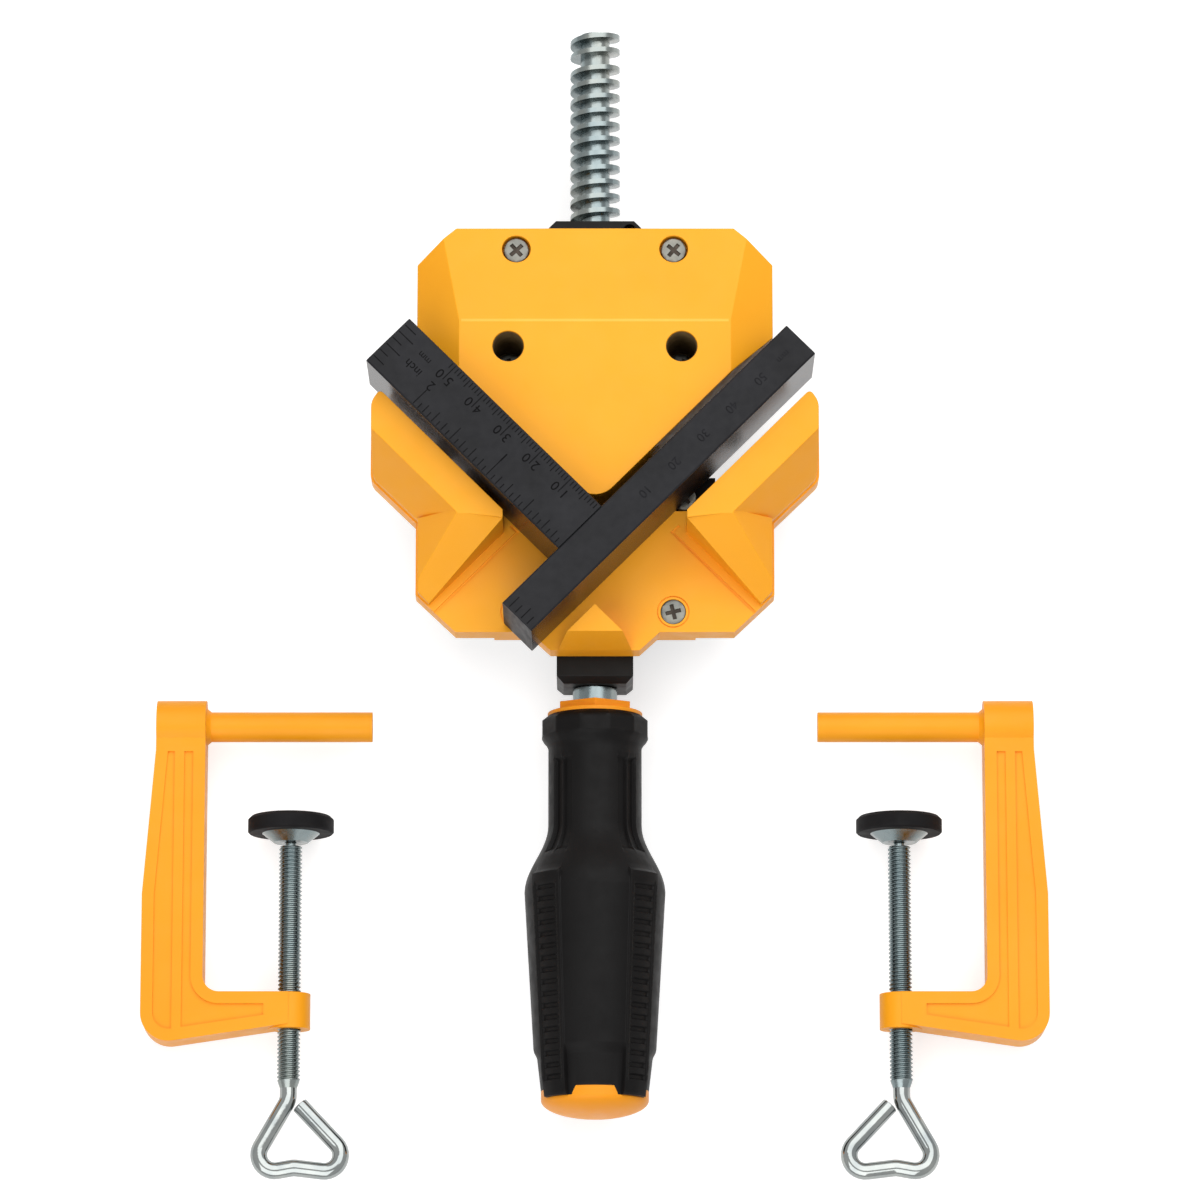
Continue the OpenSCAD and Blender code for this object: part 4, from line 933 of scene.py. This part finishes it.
def handle_grip():
    """The grip as rings of points, closer together where its relief changes."""
    low, high = box_mm("lead_screw")
    z = (low.z + high.z) / 2
    edge_keys = [0, 45]
    for at, ease in ((FLUTE_HALF, FLUTE_EASE), (FLUTE_RIDGE, FLUTE_EASE), (PANEL_HALF, PANEL_EASE),
                     (PANEL_HALF - RAIL, RIM_EASE), (PANEL_HALF - SLOT_IN, RIM_EASE),
                     (45 - WINDOW_HALF, WINDOW_EASE)):
        edge_keys += [at - ease / 2, at, at + ease / 2]
    edge_keys += [COLLAR_SIDE / 2 * k for k in range(4)]
    quarter = sorted({45 + sign * k for k in edge_keys for sign in (-1, 1)})
    angles = [q + a for q in (0, 90, 180, 270) for a in spaced(quarter, ANGLE_GAP)[:-1]]
    rows = [GRIP_START, *COLLAR, COLLAR[1] + COLLAR_PAST, *NECK, BELLY, TAIL, BAND, GRIP_END]
    rows += [at + d for at in (*FLUTE, PANEL_START) for d in (-END_EASE / 2, 0, END_EASE / 2)]
    slot_keys = (EASE / 2, EASE * 1.5, SLOT_LEN - EASE / 2, SLOT_LEN + EASE / 2)
    rows += [SLOT_START + k * SLOT_PITCH + d for k in range(SLOTS) for d in slot_keys]
    bm = bmesh.new()

    def ring(s, radius):
        points = []
        for degrees in angles:
            r, t = radius(degrees), math.radians(degrees)
            y = window_back(degrees, s) - s
            points.append(bm.verts.new((r * math.cos(t), y, z + r * math.sin(t))))
        return points

    rings = [ring(s, lambda degrees: grip_r(degrees, s)) for s in spaced(rows, ROW_GAP)]
    rings += [ring(s, lambda degrees: CORE_R) for s in (GRIP_END, GRIP_START)]
    count = len(angles)
    for a, b in zip(rings, rings[1:] + rings[:1]):
        for i in range(count):
            j = (i + 1) % count
            bm.faces.new((a[i], b[i], b[j], a[j]))
    piece("handle_grip_moulded", bm, "handle_grip", ["handle_grip"], sharp=GRIP_SHARP)


handle_grip()


# ---------------------------------------------------------------- ruler square

# U and V run along the head and the stem, from the corner of the clamp.
MARK_T = 0.04
BAR_ROUND = 0.15
BAR_SEGMENTS = 2
HEAD_W = 10.0
HEAD_GAP = 4.3
HEAD_V = HEAD_GAP + HEAD_W
HEAD_LOW = 17.6
STEM_W = 15.0
STEM_LEN = 66.7
JAW_TIP = 23.9
STEM_CLEAR = 0.3
STEM_U = JAW_TIP / math.sqrt(2) - STEM_CLEAR
ALONG_U = Vector((1, 1, 0)) / math.sqrt(2)
ALONG_V = Vector((-1, 1, 0)) / math.sqrt(2)
TICK_W = 0.22
EDGE_IN = 0.5


def square_bar(node, material=None):
    """The bar with its top face let down by the thickness of the marks that fill it."""
    bm = cad_copy(node)
    bmesh.ops.scale(bm, vec=(1 / MM, 1 / MM, 1 / MM), verts=bm.verts)
    top = max(v.co.z for v in bm.verts)
    for v in bm.verts:
        if v.co.z > top - MARK_T:
            v.co.z -= MARK_T
    bmesh.ops.bevel(bm, geom=hard_edges(bm), offset=BAR_ROUND, segments=BAR_SEGMENTS,
                    profile=0.5, affect="EDGES", clamp_overlap=True)
    piece(node + "_bar", bm, node, [node], material=material)
    return top


def flat_mark(bm, corner, along, across, top):
    """A thin slab from a corner, along one way and across the other."""
    base = [corner, corner + along, corner + along + across, corner + across]
    lower = [bm.verts.new((p.x, p.y, top - 2 * MARK_T)) for p in base]
    upper = [bm.verts.new((p.x, p.y, top)) for p in base]
    bm.faces.new(lower)
    bm.faces.new(upper)
    for i in range(4):
        j = (i + 1) % 4
        bm.faces.new((lower[i], lower[j], upper[j], upper[i]))


def words(bm, text, size, centre, top, along=ALONG_V, upright=-ALONG_U):
    """Flat lettering that reads along one way, with its head towards another."""
    curve = bpy.data.curves.new("words", "FONT")
    curve.body = text
    curve.size = size
    curve.align_x = "CENTER"
    curve.align_y = "CENTER"
    curve.extrude = MARK_T
    curve.resolution_u = 4
    obj = bpy.data.objects.new("words", curve)
    bpy.context.scene.collection.objects.link(obj)
    bpy.context.view_layer.update()
    graph = bpy.context.evaluated_depsgraph_get()
    mesh = bpy.data.meshes.new_from_object(obj.evaluated_get(graph))
    axes = Matrix((along, upright, Vector((0, 0, 1)))).transposed().to_4x4()
    mesh.transform(Matrix.Translation((centre.x, centre.y, top - MARK_T)) @ axes)
    bm.from_mesh(mesh)
    bpy.data.objects.remove(obj)
    bpy.data.curves.remove(curve)
    bpy.data.meshes.remove(mesh)


MM_TICKS = 51
MM_LENGTHS = {10: 4.6, 5: 2.3, 1: 1.5}
MM_WORD = ("mm", 2.4)
MM_WORD_V = 57.0
INCH = 25.4
PER_INCH = 16
INCHES = 2
INCH_LENGTHS = ((16, 4.8), (8, 3.9), (4, 3.0), (2, 2.4), (1, 1.5))
INCH_WORD = ("inch", 3.0)
INCH_WORD_PAST, INCH_WORD_IN = 6.4, 6.4
DIGIT = 3.5
DIGIT_ASIDE = 1.5
MM_DIGIT_IN, INCH_DIGIT_IN = 3.9, 6.2
END_TICKS = (3.6, 4.8, 3.0, 4.6, 2.6, 3.4)
END_SPACING = 2.17
END_FIRST = 1.4
HEAD_TICKS = (2.4, 3.4, 2.4, 3.4)
HEAD_SPACING = 2.0
HEAD_DIGIT = 3.2
HEAD_WORD_U = 58


def stem_marks(top):
    """Millimetres along the stem's inner edge, inches along its outer one, and its end's ticks."""
    bm = bmesh.new()
    inner = STEM_U - EDGE_IN
    outer = STEM_U - STEM_W + EDGE_IN

    def tick(v, u, length):
        flat_mark(bm, ALONG_V * (HEAD_V + v - TICK_W / 2) + ALONG_U * u,
                  ALONG_U * length, ALONG_V * TICK_W, top)

    def at(v, u):
        return ALONG_V * (HEAD_V + v) + ALONG_U * u

    for k in range(1, MM_TICKS + 1):
        step = 10 if k % 10 == 0 else 5 if k % 5 == 0 else 1
        tick(k, inner, -MM_LENGTHS[step])
        if step == 10:
            for digit, side in zip(str(k), (-1, 1)):
                place = at(k + side * DIGIT_ASIDE, inner - MM_DIGIT_IN)
                words(bm, digit, DIGIT, place, top)
    for k in range(1, INCHES * PER_INCH + 1):
        length = next(size for parts, size in INCH_LENGTHS if k % parts == 0)
        v = k * INCH / PER_INCH
        tick(v, outer, length)
        if k % PER_INCH == 0:
            words(bm, str(k // PER_INCH), DIGIT, at(v, outer + INCH_DIGIT_IN), top)
    words(bm, *INCH_WORD, at(INCHES * INCH + INCH_WORD_PAST, outer + INCH_WORD_IN), top)
    words(bm, *MM_WORD, at(MM_WORD_V, inner - MM_DIGIT_IN), top)
    for i, length in enumerate(END_TICKS):
        u = inner - END_FIRST - i * END_SPACING
        flat_mark(bm, ALONG_V * (HEAD_V + STEM_LEN - EDGE_IN) + ALONG_U * (u - TICK_W / 2),
                  ALONG_V * -length, ALONG_U * TICK_W, top)
    piece("square_stem_marks", bm, "square_stem", material=MARK)


def head_marks(top):
    """The ticks across the head's near end."""
    bm = bmesh.new()
    for i, length in enumerate(HEAD_TICKS):
        v = HEAD_GAP + HEAD_SPACING + i * HEAD_SPACING
        flat_mark(bm, ALONG_U * (EDGE_IN - HEAD_LOW) + ALONG_V * (v - TICK_W / 2),
                  ALONG_U * length, ALONG_V * TICK_W, top)
    piece("square_head_marks", bm, "square_head", material=MARK)


def head_numbers(top):
    """The head's own numbers along the jaw, as faint as the photo shows them."""
    bm = bmesh.new()
    labels = {k: (str(k), HEAD_DIGIT) for k in range(10, 60, 10)}
    labels[HEAD_WORD_U] = MM_WORD
    for u, (text, size) in labels.items():
        centre = ALONG_U * (STEM_U + u) + ALONG_V * (HEAD_V - HEAD_W / 2)
        words(bm, text, size, centre, top, -ALONG_U, -ALONG_V)
    piece("square_head_numbers", bm, "square_head", material=FAINT_MARK)


stem_marks(square_bar("square_stem"))
HEAD_TOP = square_bar("square_head", HEAD_BLACK)
head_marks(HEAD_TOP)
head_numbers(HEAD_TOP)


# ---------------------------------------------------------------- finish of the CAD nodes that stay

for node_name, obj in frame["nodes"].items():
    obj.data.materials.clear()
    obj.data.materials.append(MATERIALS[SLOT_OF[node_name]])


# ---------------------------------------------------------------- stage, light and camera

FLOOR_SIZE = 4.0
FLOOR_DROP = 0.0002
FLOOR_GREY = 0.65
FLOOR_ROUGHNESS = 0.9
FLOOR_WHITE = 0.62      # what the floor gains where it is seen directly
WORLD_FILL = 0.25
TARGET = Vector((1.25, 7.2, 17.5)) * MM
ELEVATION = math.radians(78)
DISTANCE = 1.6
LENS = 192
SENSOR = 36


def camera_white(nodes, links, kind):
    """The rays of the camera, of gloss and of glass, and a white shader for what they see."""
    path = nodes.new("ShaderNodeLightPath")
    seen = path.outputs["Is Camera Ray"]
    for ray in ("Is Glossy Ray", "Is Transmission Ray"):
        both = nodes.new("ShaderNodeMath")
        both.operation = "MAXIMUM"
        links.new(seen, both.inputs[0])
        links.new(path.outputs[ray], both.inputs[1])
        seen = both.outputs[0]
    return seen, nodes.new(kind)


def stage_floor():
    bm = bmesh.new()
    bmesh.ops.create_grid(bm, x_segments=1, y_segments=1, size=FLOOR_SIZE / 2)
    mesh = bpy.data.meshes.new("floor")
    bm.to_mesh(mesh)
    bm.free()
    floor = bpy.data.objects.new("floor", mesh)
    floor.location.z = -FLOOR_DROP
    bpy.context.scene.collection.objects.link(floor)
    material = bpy.data.materials.new("pale_floor")
    material.use_nodes = True
    nodes, links = material.node_tree.nodes, material.node_tree.links
    bsdf = nodes["Principled BSDF"]
    bsdf.inputs["Base Color"].default_value = grey(FLOOR_GREY)
    bsdf.inputs["Roughness"].default_value = FLOOR_ROUGHNESS
    seen, white = camera_white(nodes, links, "ShaderNodeEmission")
    white.inputs["Strength"].default_value = FLOOR_WHITE
    add = nodes.new("ShaderNodeAddShader")
    mix = nodes.new("ShaderNodeMixShader")
    links.new(bsdf.outputs[0], add.inputs[0])
    links.new(white.outputs[0], add.inputs[1])
    links.new(seen, mix.inputs[0])
    links.new(bsdf.outputs[0], mix.inputs[1])
    links.new(add.outputs[0], mix.inputs[2])
    links.new(mix.outputs[0], nodes["Material Output"].inputs["Surface"])
    mesh.materials.append(material)


def stage_world():
    world = bpy.data.worlds.new("studio")
    bpy.context.scene.world = world
    world.use_nodes = True
    nodes, links = world.node_tree.nodes, world.node_tree.links
    fill = nodes["Background"]
    fill.inputs["Color"].default_value = grey(1)
    fill.inputs["Strength"].default_value = WORLD_FILL
    seen, white = camera_white(nodes, links, "ShaderNodeBackground")
    mix = nodes.new("ShaderNodeMixShader")
    links.new(seen, mix.inputs[0])
    links.new(fill.outputs[0], mix.inputs[1])
    links.new(white.outputs[0], mix.inputs[2])
    links.new(mix.outputs[0], nodes["World Output"].inputs["Surface"])


def softbox(name, place, side, power):
    """A square light that faces the clamp."""
    light = bpy.data.lights.new(name, "AREA")
    light.shape = "RECTANGLE"
    light.size = light.size_y = side
    light.energy = power
    obj = bpy.data.objects.new(name, light)
    obj.location = place
    obj.rotation_euler = (Vector(place) - TARGET).to_track_quat("Z", "Y").to_euler()
    bpy.context.scene.collection.objects.link(obj)


def stage_camera():
    data = bpy.data.cameras.new("photo_camera")
    data.lens = LENS
    data.sensor_width = SENSOR
    camera = bpy.data.objects.new("photo_camera", data)
    camera.location = TARGET + DISTANCE * Vector((0, -math.cos(ELEVATION), math.sin(ELEVATION)))
    camera.rotation_euler = (math.pi / 2 - ELEVATION, 0, 0)
    bpy.context.scene.collection.objects.link(camera)
    bpy.context.scene.camera = camera


stage_floor()
stage_world()
softbox("key", (0.12, 0.32, 0.7), side=1.0, power=6.3)
softbox("fill", (-0.25, -0.7, 0.75), side=0.9, power=5.4)
stage_camera()
bpy.context.scene.view_settings.view_transform = "Standard"
